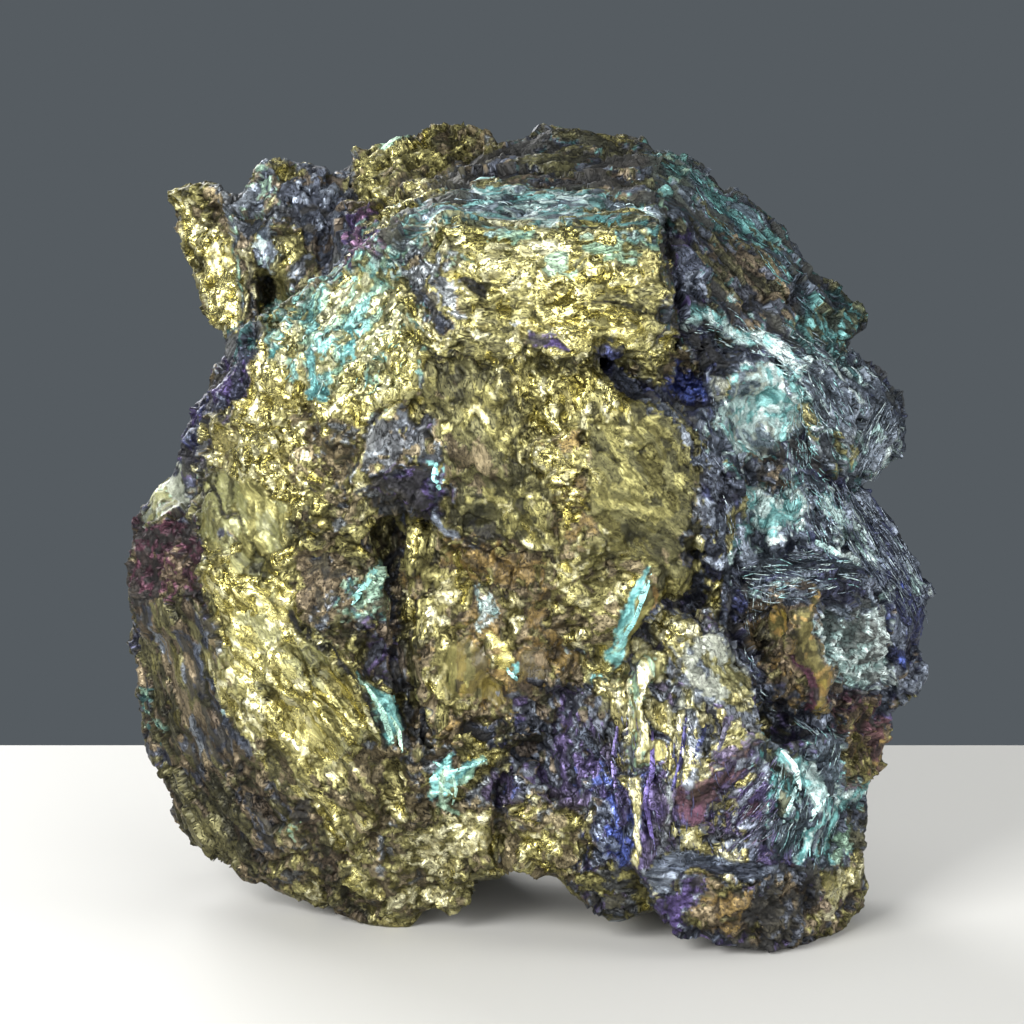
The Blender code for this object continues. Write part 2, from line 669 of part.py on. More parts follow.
def cut_feet(body):
    """Cuts off everything below the ground and closes the feet with flat faces."""
    points, _ = read_points(body)
    points[np.abs(points[:, 2]) < FOOT_SNAP_MM, 2] = 0.0
    write_points(body, points)
    mesh = bmesh.new()
    mesh.from_mesh(body.data)
    everything = [*mesh.verts, *mesh.edges, *mesh.faces]
    ground = {"plane_co": (0.0, 0.0, 0.0), "plane_no": (0.0, 0.0, 1.0)}
    bmesh.ops.bisect_plane(mesh, geom=everything, dist=1e-7, clear_inner=True, **ground)
    rims = [edge for edge in mesh.edges if edge.is_boundary]
    bmesh.ops.holes_fill(mesh, edges=rims, sides=0)
    bmesh.ops.triangulate(mesh, faces=mesh.faces)
    bmesh.ops.recalc_face_normals(mesh, faces=mesh.faces)
    mesh.to_mesh(body.data)
    mesh.free()


def ore_material():
    """Tarnished sulphide ore: brassy olive, half metallic and rather rough."""
    material = bpy.data.materials.new("tarnished_ore")
    material.use_nodes = True
    shader = material.node_tree.nodes["Principled BSDF"]
    shader.inputs["Base Color"].default_value = (0.23, 0.21, 0.10, 1.0)
    shader.inputs["Roughness"].default_value = 0.45
    shader.inputs["Metallic"].default_value = 0.6
    return material


def main():
    for item in list(bpy.data.objects):
        bpy.data.objects.remove(item, do_unlink=True)
    body = fused_body()
    carve(body)
    roughen(body)
    fuse(body)
    keep_largest_shell(body)
    thin_out(body)
    stand_up(body)
    cut_feet(body)
    keep_largest_shell(body)
    body.data.materials.clear()
    body.data.materials.append(ore_material())


if __name__ == "__main__":
    main()
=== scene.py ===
"""The looks of a covellite ore specimen: brassy sulphide under turquoise, indigo and violet tarnish.

Places on the broken front face are in face millimetres, as in the part's source: across to the right, up
along the face and out towards the front, as they are seen from the viewpoint straight in front of it.
"""
import logging
import math
from dataclasses import dataclass, field
from enum import Enum

import bmesh
import bpy
import numpy as np
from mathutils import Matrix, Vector


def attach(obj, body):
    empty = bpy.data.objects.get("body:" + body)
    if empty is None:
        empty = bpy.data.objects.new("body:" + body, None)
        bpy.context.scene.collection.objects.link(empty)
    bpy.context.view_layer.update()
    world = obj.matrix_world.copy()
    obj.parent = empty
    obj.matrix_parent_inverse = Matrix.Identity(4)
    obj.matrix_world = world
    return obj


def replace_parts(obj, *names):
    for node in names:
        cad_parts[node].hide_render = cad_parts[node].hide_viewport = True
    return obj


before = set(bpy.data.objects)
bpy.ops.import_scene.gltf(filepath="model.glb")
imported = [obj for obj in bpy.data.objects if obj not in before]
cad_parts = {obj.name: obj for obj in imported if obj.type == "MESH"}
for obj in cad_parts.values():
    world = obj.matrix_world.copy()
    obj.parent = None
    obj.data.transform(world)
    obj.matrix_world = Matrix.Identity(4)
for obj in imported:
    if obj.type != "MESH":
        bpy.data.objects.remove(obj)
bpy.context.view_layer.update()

LOG = logging.getLogger("covellite")
CAD_NODE = "covellite"
BODY = "root"
METRES_PER_MM = 0.001
# Outlines and paths are in tenths of a millimetre, and shares in percent
TENTHS = 10.0
PERCENT = 100.0


def linear_colour(hex_value: str) -> np.ndarray:
    """Turns an sRGB hex value to linear red, green and blue.

    Args:
        hex_value: The colour as "#rrggbb".

    Returns:
        Three numbers from 0 to 1.
    """
    channels = np.array([int(hex_value[place:place + 2], 16) / 255.0 for place in (1, 3, 5)])
    return np.where(channels <= 0.04045, channels / 12.92, ((channels + 0.055) / 1.055) ** 2.4)


@dataclass(frozen=True)
class Finish:
    """How one mineral, or one film of tarnish on it, shows on a broken grain.

    bright is the colour of the grain's crest and deep that of its flank, as sRGB hex values. On the
    broken skin a raised crest gets more of bright as a painted highlight and a sunk flank more of deep
    as painted shade; each flake and fibre also takes a random place between them.
    """

    bright: str
    deep: str
    metallic: float
    roughness: float


class Tone(Enum):
    """The finishes of the broken surface."""

    BRASS = Finish("#f2e99d", "#8f8543", 0.95, 0.26)
    # Pale brass: pale spots of the ore, and on the horn, the left slab and its gold crumbs partly a painted
    # highlight where their faces catch the light
    CREAM = Finish("#fffbcf", "#b3aa6f", 0.80, 0.28)
    OLIVE = Finish("#b3ad6f", "#54502d", 0.85, 0.38)
    PALE_OLIVE = Finish("#949463", "#62623b", 0.25, 0.30)
    MOSS = Finish("#706d46", "#2c2c1c", 0.70, 0.42)
    BRONZE = Finish("#96866c", "#4a4034", 0.75, 0.46)
    OCHRE = Finish("#ad8f52", "#6b5528", 0.35, 0.42)
    AMBER = Finish("#75672c", "#41381a", 0.15, 0.22)
    MINT = Finish("#bfe0c6", "#74977f", 0.55, 0.46)
    TURQUOISE = Finish("#9ddfdc", "#4a8686", 0.55, 0.42)
    TEAL = Finish("#5d938f", "#26474a", 0.70, 0.42)
    SILK = Finish("#e6f6f2", "#9dbcb8", 0.50, 0.40)
    CLEAR_GREY = Finish("#a3a899", "#6d7265", 0.10, 0.30)
    STEEL = Finish("#98a2b0", "#525a68", 0.85, 0.38)
    SLATE = Finish("#626a7b", "#2c303b", 0.75, 0.42)
    INDIGO = Finish("#3b416c", "#13152a", 0.70, 0.38)
    BLUE = Finish("#566cc0", "#28346f", 0.70, 0.38)
    VIOLET = Finish("#6f5f97", "#2f2748", 0.70, 0.40)
    MAGENTA = Finish("#b388ae", "#5f4560", 0.65, 0.40)
    MAROON = Finish("#74485a", "#38202a", 0.60, 0.46)
    # Near-black: painted shade, mixed into the areas to darken cracks, seams and shaded faces
    SOOT = Finish("#24211a", "#0e0d0a", 0.30, 0.60)


TONES = tuple(Tone)
BRIGHT, DEEP = (
    np.array([linear_colour(value) for value in values])
    for values in zip(*((tone.value.bright, tone.value.deep) for tone in TONES))
)
METALLIC, ROUGHNESS = np.array([(tone.value.metallic, tone.value.roughness) for tone in TONES]).T


def mix(**shares: float) -> np.ndarray:
    """Turns the shares of an area's finishes to one row with a number for every tone.

    Args:
        shares: The shares in percent by the tone's name in small letters.

    Returns:
        The row, in the order of the tones.
    """
    row = np.zeros(len(TONES))
    for name, share in shares.items():
        row[TONES.index(Tone[name.upper()])] = share / PERCENT
    return row


def line_mm(tenths: tuple) -> np.ndarray:
    """Turns an outline or path to one row of across and up in millimetres for each point."""
    return np.reshape(tenths, (-1, 2)) / TENTHS


class Side(Enum):
    """The half of the stone that an area is on."""

    FRONT = "front"
    BACK = "back"


@dataclass(frozen=True)
class Patch:
    """One area of the surface, the mix of finishes in it and how it is broken.

    outline lists across and up in turn for each corner of a closed ring, or, where width isn't 0, for
    each point of a line of that half width in millimetres. soft is how wide the border is, and hackle
    how rough the breaks are. grain is the grain's angle from across towards up, in degrees, and how
    many times as long as wide the grains are drawn.
    """

    outline: tuple
    shares: np.ndarray
    width: float = 0.0
    soft: float = 0.3
    hackle: float = 1.0
    grain: tuple = (0, 1)
    side: Side = Side.FRONT


# What lies between the areas below
GROUND_MIX = mix(olive=38, brass=14, moss=22, bronze=20, steel=6)

PATCHES = {
    # What shows between the areas of the right column, the lower right, the roof and the left rim
    "right_ground": Patch(
        (90, 115, 260, 140, 260, -90, 115, -90, 105, -30, 90, 40),
        mix(slate=42, steel=24, indigo=20, soot=14), soft=0.2,
    ),
    "lower_right_ground": Patch(
        (30, -90, 260, -90, 260, -240, 30, -240), mix(slate=34, steel=20, violet=14, moss=18, soot=14),
        soft=0.2,
    ),
    "roof_ground": Patch(
        (60, 120, 60, 260, 240, 260, 240, 90), mix(moss=34, slate=34, soot=20, teal=12), soft=0.2,
    ),
    "left_ground": Patch(
        (-260, 80, -170, 80, -170, 0, -180, -60, -120, -200, -260, -200),
        mix(moss=42, bronze=28, slate=20, indigo=10), soft=0.2,
    ),
    "back_right_ground": Patch(
        (90, 260, 260, 260, 260, -240, 90, -240), mix(slate=30, moss=26, steel=16, soot=12, bronze=16),
        soft=0.2, side=Side.BACK,
    ),
    # The upper block and the ridge behind it
    "upper_block": Patch(
        (-78, 173, 71, 177, 69, 145, 77, 132, 78, 113, 71, 104, -34, 100, -72, 117),
        mix(brass=42, cream=16, olive=24, moss=12, steel=6), hackle=0.65, grain=(0, 1.7),
    ),
    "block_pale_top": Patch(
        (-75, 174, 69, 177, 69, 163, 17, 154, -72, 154), mix(cream=34, mint=30, silk=14, brass=14, moss=8),
        soft=0.9, hackle=0.8, grain=(4, 2),
    ),
    "block_grey_corner": Patch(
        (-77, 169, -52, 167, -46, 116, -71, 116), mix(steel=30, olive=30, cream=20, bronze=20), soft=0.8,
        hackle=0.9, grain=(80, 1.5),
    ),
    "block_crack": Patch((-33, 140, -18, 144, -3, 145), mix(soot=30, moss=70), width=0.1, soft=0.15),
    "block_lower_crack": Patch((39, 133, 61, 127, 73, 121), mix(moss=60, soot=40), width=0.14, soft=0.15),
    "block_spot": Patch((-64, 138, -54, 136, -53, 126, -61, 123), mix(slate=60, soot=40)),
    "purple_plate": Patch(
        (-2, 112, 17, 114, 21, 108, 17, 104, 0, 104), mix(soot=70, violet=30), soft=0.2, hackle=0.6,
    ),
    "block_bottom_line": Patch(
        (-72, 108, -50, 102, -17, 99, 17, 102, 42, 104), mix(soot=50, moss=50), width=0.18, soft=0.2,
    ),
    "teal_band": Patch(
        (-72, 173, -66, 182, -50, 191, 34, 194, 61, 187, 69, 177, -6, 174),
        mix(turquoise=34, silk=20, teal=16, steel=22, slate=8), soft=0.6, hackle=0.9, grain=(2, 3),
    ),
    "dark_ridge": Patch(
        (-77, 177, -68, 189, -50, 201, -17, 222, 17, 226, 61, 228, 69, 211, 70, 186, 34, 194, -50, 191,
        -67, 182), mix(slate=24, soot=58, bronze=8, moss=10), soft=0.5, hackle=1.3, grain=(12, 3),
    ),
    "ridge_moss": Patch(
        (-14, 221, 61, 228, 68, 216, 17, 211, -8, 206), mix(moss=44, teal=8, soot=36, slate=12), soft=0.5,
        hackle=1.2, grain=(8, 3),
    ),
    "roof": Patch(
        (62, 222, 97, 208, 139, 171, 188, 121, 169, 107, 131, 116, 96, 123, 73, 171, 67, 206),
        mix(teal=16, moss=28, slate=32, steel=4, soot=20), soft=0.5, hackle=1.1, grain=(-48, 3.2),
    ),
    "roof_bright": Patch(
        (64, 217, 94, 207, 101, 191, 77, 191, 67, 201),
        mix(turquoise=20, cream=16, mint=18, teal=24, moss=22), soft=0.6, hackle=0.9, grain=(-40, 2.5),
    ),
    "roof_blue_strip": Patch(
        (94, 191, 119, 171, 144, 143, 162, 124), mix(turquoise=20, teal=36, slate=30, moss=14), width=0.6,
        soft=0.4, hackle=0.8, grain=(-48, 4),
    ),
    "roof_brown": Patch(
        (101, 161, 133, 154, 150, 133, 144, 121, 114, 127), mix(bronze=34, moss=30, slate=36), soft=0.6,
        grain=(-48, 2),
    ),
    "roof_tip": Patch(
        (150, 136, 188, 122, 184, 112, 169, 104, 153, 111), mix(turquoise=30, teal=36, moss=34), soft=0.4,
        grain=(-40, 2),
    ),
    "block_side": Patch(
        (71, 177, 94, 169, 107, 123, 90, 110, 80, 110, 77, 133), mix(slate=54, soot=28, violet=12, steel=6),
        soft=0.25, hackle=1.2, grain=(-75, 2.5),
    ),
    "side_line": Patch((72, 174, 74, 150, 81, 130), mix(soot=1), width=0.22, soft=0.12),
    # The lump and the horn at the upper left
    "gold_lump": Patch(
        (-112, 179, -102, 217, -81, 229, -39, 231, -21, 222, -50, 197, -71, 180),
        mix(olive=42, brass=26, moss=20, bronze=12), soft=0.5, hackle=1.1, grain=(20, 1.4),
    ),
    "mint_glint": Patch((-80, 218, -70, 227), mix(mint=80, cream=20), width=0.35, soft=0.15, hackle=0.4),
    "pale_patch": Patch(
        (-84, 191, -74, 196, -54, 198, -58, 188, -74, 184), mix(cream=60, brass=40), soft=0.2, hackle=0.8,
        grain=(10, 1.5),
    ),
    "lump_shadow": Patch(
        (-102, 186, -81, 182, -69, 191), mix(bronze=50, soot=30, olive=20), width=0.5, soft=0.4,
    ),
    "horn_gold": Patch(
        (-199, 194, -184, 190, -161, 171, -161, 118, -171, 118, -183, 139, -190, 167),
        mix(brass=42, cream=58), hackle=0.55, grain=(0, 1.2),
    ),
    "horn_top": Patch(
        (-189, 191, -158, 187, -162, 169, -180, 174), mix(olive=36, moss=34, bronze=30), soft=0.5,
        grain=(30, 1.5),
    ),
    "horn_edge": Patch(
        (-162, 191, -161, 121), mix(mint=45, steel=55), width=0.16, soft=0.12, hackle=0.6, grain=(90, 3),
    ),
    "beige_strip": Patch(
        (-160, 189, -146, 189, -146, 122, -160, 118), mix(bronze=40, steel=30, cream=18, moss=12),
        grain=(88, 2),
    ),
    "slab_top_steel": Patch(
        (-162, 191, -146, 212, -128, 207, -132, 186, -149, 187), mix(steel=42, slate=30, mint=14, bronze=14),
        soft=0.4, grain=(60, 2),
    ),
    "horn_crack": Patch((-146, 167, -144, 143, -146, 121), mix(soot=1), width=0.3, soft=0.15),
    "horn_crack_low": Patch((-144, 124, -132, 129), mix(soot=1), width=0.28, soft=0.2),
    "lavender_glint": Patch(
        (-148, 177, -138, 178, -137, 157, -143, 157), mix(steel=75, silk=25), soft=0.2, hackle=0.4,
        grain=(90, 2),
    ),
    "olive_window": Patch(
        (-140, 153, -124, 164, -120, 133, -141, 128), mix(olive=66, moss=34), soft=0.4, hackle=0.3,
        grain=(60, 2),
    ),
    "grey_slab": Patch(
        (-136, 206, -99, 211, -99, 146, -121, 133, -127, 167), mix(steel=30, slate=40, bronze=16, soot=14),
        soft=0.4, grain=(80, 3),
    ),
    "magenta_patch": Patch(
        (-106, 182, -80, 184, -78, 154, -102, 147), mix(magenta=34, violet=26, soot=40), hackle=1.2,
        grain=(80, 1.6),
    ),
    # The left slab
    "slab": Patch(
        (-161, 117, -128, 131, -77, 167, -72, 133, -56, 78, -50, 39, -83, 11, -106, 11, -133, 28, -181, 39,
        -179, 64, -161, 72), mix(olive=18, brass=40, steel=8, bronze=6, cream=28), soft=0.4, hackle=0.75,
        grain=(70, 1.5),
    ),
    "slab_turquoise": Patch(
        (-154, 112, -128, 130, -78, 164, -72, 133, -71, 84, -106, 87, -128, 104),
        mix(turquoise=26, mint=26, silk=14, cream=14, olive=16, teal=4), soft=0.9, hackle=0.8,
        grain=(55, 1.8),
    ),
    "turquoise_fleck_one": Patch(
        (-104, 111, -94, 108, -91, 99, -100, 99), mix(turquoise=90, silk=10), soft=0.2, hackle=0.5,
    ),
    "turquoise_fleck_two": Patch(
        (-84, 102, -77, 100, -76, 92, -83, 93), mix(turquoise=1), soft=0.2, hackle=0.5,
    ),
    "turquoise_fleck_three": Patch(
        (-147, 111, -140, 112, -139, 104, -146, 104), mix(turquoise=80, mint=20), soft=0.2, hackle=0.5,
    ),
    "turquoise_trail": Patch(
        (-121, 104, -117, 89, -119, 77), mix(turquoise=60, teal=20, silk=20), width=0.4, hackle=0.8,
        grain=(80, 2),
    ),
    "slab_edge_gold": Patch(
        (-156, 116, -149, 89, -149, 56), mix(brass=54, cream=46), width=0.5, hackle=0.8, grain=(85, 1.5),
    ),
    "gold_crumbs": Patch(
        (-180, 61, -159, 69, -128, 49, -118, 27, -161, 32, -181, 43), mix(brass=50, cream=46, bronze=4),
        soft=0.4, hackle=0.9,
    ),
    "bronze_crumbs": Patch(
        (-128, 64, -99, 56, -103, 18, -132, 27), mix(bronze=36, olive=34, brass=22, soot=8), soft=0.6,
        hackle=0.9,
    ),
    "grey_ground": Patch(
        (-97, 67, -61, 79, -50, 56, -50, 32, -81, 27, -101, 16),
        mix(slate=16, steel=14, olive=38, cream=12, bronze=20), soft=0.6, hackle=0.8, grain=(80, 2),
    ),
    "dusky_patch": Patch(
        (-71, 82, -51, 82, -50, 61, -66, 58), mix(slate=38, steel=16, bronze=24, violet=6, olive=16),
        soft=0.5, grain=(70, 2),
    ),
    "smooth_window": Patch(
        (-186, 39, -163, 33, -139, 23, -139, -4, -161, -12, -176, 0, -186, 19),
        mix(pale_olive=60, olive=24, moss=16), soft=0.25, hackle=0.3, grain=(-52, 8),
    ),
    "window_line": Patch(
        (-185, 36, -174, 17, -156, -9, -141, -16), mix(moss=70, soot=30), width=0.12, soft=0.1, hackle=0.5,
    ),
    "lower_window": Patch(
        (-176, -11, -147, -16, -143, -33, -166, -36), mix(pale_olive=60, olive=30, moss=10), soft=0.35,
        hackle=0.3, grain=(-30, 6),
    ),
    "yellow_wedge": Patch(
        (-147, -14, -128, -19, -128, -36, -137, -36), mix(brass=60, cream=40), soft=0.15, hackle=0.3,
    ),
    "brown_hollow": Patch(
        (-129, -2, -107, -3, -104, -34, -124, -34), mix(bronze=74, olive=18, soot=8), soft=0.4, hackle=0.8,
        grain=(60, 1.5),
    ),
    "brown_hollow_rim": Patch(
        (-137, -9, -124, 0, -104, -1), mix(brass=50, bronze=50), width=0.14, soft=0.15, hackle=0.6,
    ),
    "gold_slope": Patch(
        (-177, -3, -128, -36, -93, -80, -73, -118, -111, -123, -161, -92, -177, -46),
        mix(brass=36, cream=16, pale_olive=24, olive=24), soft=0.4, hackle=0.65, grain=(-50, 2.4),
    ),
    "mottled_slope": Patch(
        (-177, -46, -161, -101, -132, -146, -88, -179, -53, -146, -71, -118, -110, -123),
        mix(olive=30, brass=22, bronze=22, cream=18, moss=8), soft=0.6, hackle=0.8, grain=(-55, 1.8),
    ),
    "rib_shadow": Patch(
        (-132, -33, -111, -67, -93, -89, -79, -118), mix(soot=60, moss=40), width=0.24, soft=0.2,
    ),
    # The dark rim and the flank at the left
    "violet_rim": Patch(
        (-177, 108, -158, 117, -158, 79, -174, 64, -193, 38, -211, 19, -217, 31, -201, 61, -181, 78),
        mix(indigo=36, slate=40, soot=14, violet=10), grain=(-60, 2.5),
    ),
    "violet_patch": Patch(
        (-174, 96, -158, 106, -158, 80, -171, 79), mix(violet=80, slate=20), hackle=0.8, grain=(60, 1.5),
    ),
    "neck": Patch(
        (-173, 123, -156, 123, -157, 104, -171, 97), mix(slate=50, soot=30, teal=20), grain=(70, 2),
    ),
    "mint_window": Patch(
        (-210, 40, -197, 48, -188, 39, -194, 13, -206, 9), mix(mint=4, clear_grey=32, pale_olive=42, moss=22),
        hackle=0.25, grain=(-60, 3),
    ),
    "maroon_lump": Patch(
        (-221, 11, -189, 14, -178, -3, -181, -34, -202, -47, -221, -34), mix(soot=56, maroon=38, bronze=6),
        hackle=0.9,
    ),
    "flank": Patch(
        (-222, -32, -188, -33, -176, -46, -161, -101, -132, -146, -166, -173, -200, -146, -212, -101),
        mix(moss=48, bronze=28, olive=2, slate=10, soot=12), soft=0.4, hackle=0.65, grain=(-72, 4),
    ),
    "flank_blue_line": Patch(
        (-181, -56, -170, -89, -160, -112), mix(slate=46, moss=34, steel=20), width=0.3, hackle=0.8,
        grain=(-70, 3),
    ),
    "flank_light": Patch(
        (-201, -56, -191, -100, -176, -144), mix(olive=34, bronze=36, steel=12, moss=18), width=0.5, soft=0.4,
        hackle=0.8, grain=(-72, 4),
    ),
    "teal_fleck": Patch((-213, -84, -210, -101), mix(teal=70, mint=30), width=0.28, soft=0.2, hackle=0.8),
    # Painted highlight: a silvery glint on the flank
    "silver_glint": Patch((-172, -89, -161, -90, -163, -99, -171, -98), mix(silk=1), soft=0.15, hackle=0.4),
    "left_foot": Patch(
        (-201, -146, -166, -173, -132, -146, -88, -179, -50, -140, -16, -144, -16, -173, -33, -183, -38, -218,
        -83, -219, -128, -202, -172, -179), mix(bronze=26, olive=36, cream=22, moss=10, slate=6), soft=0.5,
        hackle=0.9,
    ),
    "foot_shade": Patch(
        (-205, -124, -150, -128, -136, -160, -142, -192, -205, -180),
        mix(moss=44, bronze=34, slate=8, soot=14), soft=0.4, hackle=1.1, grain=(-60, 3),
    ),
    "yellow_green_one": Patch(
        (-137, -162, -129, -163, -129, -171, -136, -170), mix(brass=70, mint=30), soft=0.2, hackle=0.5,
    ),
    "yellow_green_two": Patch(
        (-106, -174, -100, -178, -94, -188, -100, -187), mix(brass=70, mint=30), soft=0.15, hackle=0.5,
    ),
    "foot_shadow": Patch(
        (-132, -146, -111, -172, -100, -200), mix(soot=34, bronze=40, moss=26), width=0.6, soft=0.5,
    ),
    # The cleft
    "cleft": Patch(
        (-83, 22, -49, 22, -56, -33, -48, -89, -48, -122, -66, -122, -77, -83, -84, -33),
        mix(slate=14, bronze=24, moss=22, olive=34, brass=6), soft=0.5, hackle=1.1, grain=(84, 4),
    ),
    "cleft_line": Patch(
        (-77, 11, -74, -39, -66, -96, -54, -118), mix(soot=60, slate=40), width=0.22, soft=0.2,
    ),
    "dark_knot": Patch(
        (-86, 34, -56, 37, -48, 22, -56, 11, -74, 13, -84, 22), mix(slate=40, soot=34, violet=26), soft=0.25,
        grain=(20, 1.5),
    ),
    "cyan_spot": Patch((-57, 43, -47, 44, -48, 29, -56, 28), mix(turquoise=1), soft=0.15, hackle=0.3),
    "cleft_violet": Patch(
        (-92, -36, -71, -39, -71, -79, -88, -73), mix(violet=14, slate=34, bronze=40, soot=12), soft=0.4,
        grain=(80, 2),
    ),
    "cleft_mint": Patch(
        (-102, -17, -81, -12, -83, -34, -100, -40), mix(mint=58, turquoise=26, bronze=16), soft=0.4,
        hackle=0.8,
    ),
    "cleft_turquoise": Patch(
        (-93, -79, -80, -90, -71, -110, -78, -118, -86, -96), mix(turquoise=60, mint=40), soft=0.15,
        hackle=0.5,
    ),
    "lace_one": Patch(
        (-55, -134, -44, -127, -33, -127, -23, -121), mix(mint=50, turquoise=50), width=0.24, soft=0.12,
        hackle=0.4,
    ),
    "lace_two": Patch((-43, -128, -40, -146), mix(mint=60, olive=40), width=0.2, soft=0.12, hackle=0.5),
    "lace_three": Patch((-38, -133, -50, -144), mix(mint=60, olive=40), width=0.18, soft=0.15, hackle=0.5),
    # The lens-shaped face and the sunken ground below it
    "lens": Patch(
        (-56, 97, 40, 108, 73, 78, 96, 56, 96, 0, 89, -29, 62, -57, 39, -64, 17, -57, -17, -12, -49, 10,
        -49, 39, -66, 77), mix(olive=36, brass=10, cream=4, moss=44, bronze=6), hackle=0.65, grain=(-75, 2.2),
    ),
    "lens_bright": Patch(
        (-10, 97, 40, 102, 52, 67, 41, 4, 17, -1, -1, 49),
        mix(brass=38, cream=22, olive=26, moss=8, bronze=6), soft=0.6, hackle=0.85, grain=(-80, 1.8),
    ),
    "lens_warm": Patch(
        (6, 56, 39, 56, 37, 0, 12, 0), mix(brass=40, ochre=18, cream=16, olive=16, bronze=10), soft=0.6,
        hackle=1.1,
    ),
    "lens_window": Patch(
        (41, 63, 89, 62, 90, -11, 51, -23, 33, 10), mix(moss=52, olive=42, cream=6), soft=0.6, hackle=0.5,
        grain=(-40, 3),
    ),
    "lens_grey_edge": Patch(
        (61, 89, 83, 72, 98, 56, 97, 39, 77, 61), mix(steel=40, slate=20, olive=40), soft=0.4, hackle=0.8,
        grain=(-50, 2),
    ),
    "lens_silver": Patch(
        (23, -28, 39, -22, 42, -47, 28, -56), mix(silk=40, steel=30, olive=30), soft=0.4, hackle=0.8,
    ),
    "lens_low": Patch(
        (-6, -11, 68, -11, 61, -57, 18, -57), mix(olive=42, cream=16, bronze=24, brass=18), soft=0.5,
        hackle=0.8, grain=(0, 1.3),
    ),
    "olive_pocket": Patch(
        (-40, 21, -12, 20, -13, -9, -33, -7), mix(moss=74, soot=26), soft=0.25, hackle=0.5, grain=(40, 1.5),
    ),
    "pocket_shadow": Patch(
        (-33, 0, -17, -9, -6, -7), mix(soot=90, moss=10), width=0.25, soft=0.2, hackle=0.5,
    ),
    "grey_thread": Patch(
        (-56, 11, -33, -4, -17, -12), mix(steel=60, slate=40), width=0.2, soft=0.15, hackle=0.5,
    ),
    "turquoise_streak": Patch(
        (70, -16, 64, -31, 49, -61, 42, -64, 46, -46, 61, -20), mix(turquoise=90, mint=10), soft=0.12,
        hackle=0.3, grain=(60, 2),
    ),
    "olive_crystal": Patch(
        (68, -24, 74, -33, 66, -58, 50, -62, 58, -40), mix(moss=45, olive=55), soft=0.15, hackle=0.2,
        grain=(60, 4),
    ),
    "orange_sliver": Patch((70, -29, 73, -50), mix(ochre=1), width=0.18, soft=0.1, hackle=0.3),
    "teal_bit": Patch(
        (31, -67, 42, -67, 41, -81, 32, -81), mix(turquoise=60, teal=40), soft=0.15, hackle=0.5,
    ),
    "sunken_ground": Patch(
        (-61, -3, 17, 0, 26, -57, 7, -112, -50, -112, -58, -56),
        mix(olive=28, ochre=20, bronze=28, cream=12, moss=12), soft=0.5, hackle=0.8, grain=(80, 1.6),
    ),
    "amber_patch": Patch(
        (-46, -49, -30, -47, -24, -70, -12, -96, -16, -104, -32, -94, -44, -90),
        mix(amber=54, moss=24, olive=22), soft=0.2, hackle=0.25, grain=(80, 4),
    ),
    "amber_tail": Patch(
        (-12, -61, 14, -60, 6, -100, -10, -98), mix(amber=40, bronze=40, ochre=20), hackle=0.4, grain=(80, 2),
    ),
    "striped_patch": Patch(
        (-25, -44, -16, -46, -11, -66, -19, -73), mix(brass=54, ochre=46), soft=0.1, hackle=0.3,
        grain=(15, 6),
    ),
    "orange_patch": Patch(
        (-50, -3, -27, -6, -28, -29, -47, -28), mix(ochre=40, brass=36, bronze=24), hackle=0.8,
    ),
    "silver_crumb": Patch(
        (-29, -32, -17, -31, -16, -43, -27, -44), mix(silk=80, steel=20), soft=0.2, hackle=0.8,
    ),
    "teal_crumb": Patch((-16, -69, -6, -67, -8, -78, -14, -78), mix(turquoise=1), soft=0.12, hackle=0.3),
    "dark_shelf": Patch((-37, -109, 2, -110), mix(soot=80, slate=20), width=0.3, soft=0.2, hackle=0.8),
    "indigo_bit": Patch(
        (-14, -113, 2, -112, 0, -126, -12, -123), mix(indigo=80, blue=20), soft=0.15, hackle=0.4,
    ),
    "indigo_bit_two": Patch(
        (-17, -139, -6, -133, -8, -151, -14, -153), mix(indigo=80, blue=20), soft=0.15, hackle=0.4,
    ),
    # The indigo seams
    "seam_upper": Patch(
        (41, 108, 53, 88, 73, 79, 99, 77, 106, 66), mix(indigo=40, slate=26, soot=34), width=0.62, soft=0.25,
        grain=(-30, 2.5),
    ),
    "seam_lower": Patch(
        (104, 56, 116, 43, 121, 23, 114, 0, 102, -7, 94, -24, 73, -47, 46, -73),
        mix(indigo=36, slate=30, soot=34), width=0.55, soft=0.25, grain=(-60, 2),
    ),
    "seam_tail": Patch(
        (46, -73, 17, -86, -17, -112), mix(slate=40, soot=40, indigo=20), width=0.4, soft=0.25, grain=(30, 2),
    ),
    "dark_rope": Patch(
        (89, 60, 120, 49, 123, 0, 97, -29, 89, -11, 94, 17),
        mix(slate=40, steel=18, indigo=26, olive=6, soot=10), soft=0.4, grain=(-75, 2),
    ),
    "blue_pocket": Patch((77, 97, 94, 97, 94, 82, 77, 82), mix(blue=40, indigo=60), soft=0.2, hackle=0.8),
    # The bladed mass and the lower right
    "bladed_mass": Patch(
        (17, -84, 61, -57, 96, -34, 120, -57, 129, -101, 132, -146, 129, -190, 61, -190, 17, -179, -17, -140,
        -6, -112), mix(steel=26, slate=24, olive=16, violet=16, cream=18), soft=0.5, grain=(-80, 3),
    ),
    "grey_flank": Patch(
        (-17, -90, 39, -84, 40, -140, -6, -140), mix(moss=28, bronze=26, steel=16, slate=20, violet=10),
        soft=0.6, hackle=1.1, grain=(-70, 2),
    ),
    "clear_patch": Patch(
        (77, -57, 106, -47, 122, -83, 118, -99, 84, -98), mix(clear_grey=60, steel=22, olive=18), hackle=0.5,
        grain=(-60, 2),
    ),
    "clear_patch_gold": Patch(
        (74, -56, 89, -53, 86, -69, 79, -83), mix(cream=50, brass=30, olive=20), hackle=0.8,
    ),
    "blue_violet": Patch(
        (28, -124, 62, -124, 62, -182, 40, -184, 28, -168), mix(violet=32, blue=22, steel=40, bronze=6),
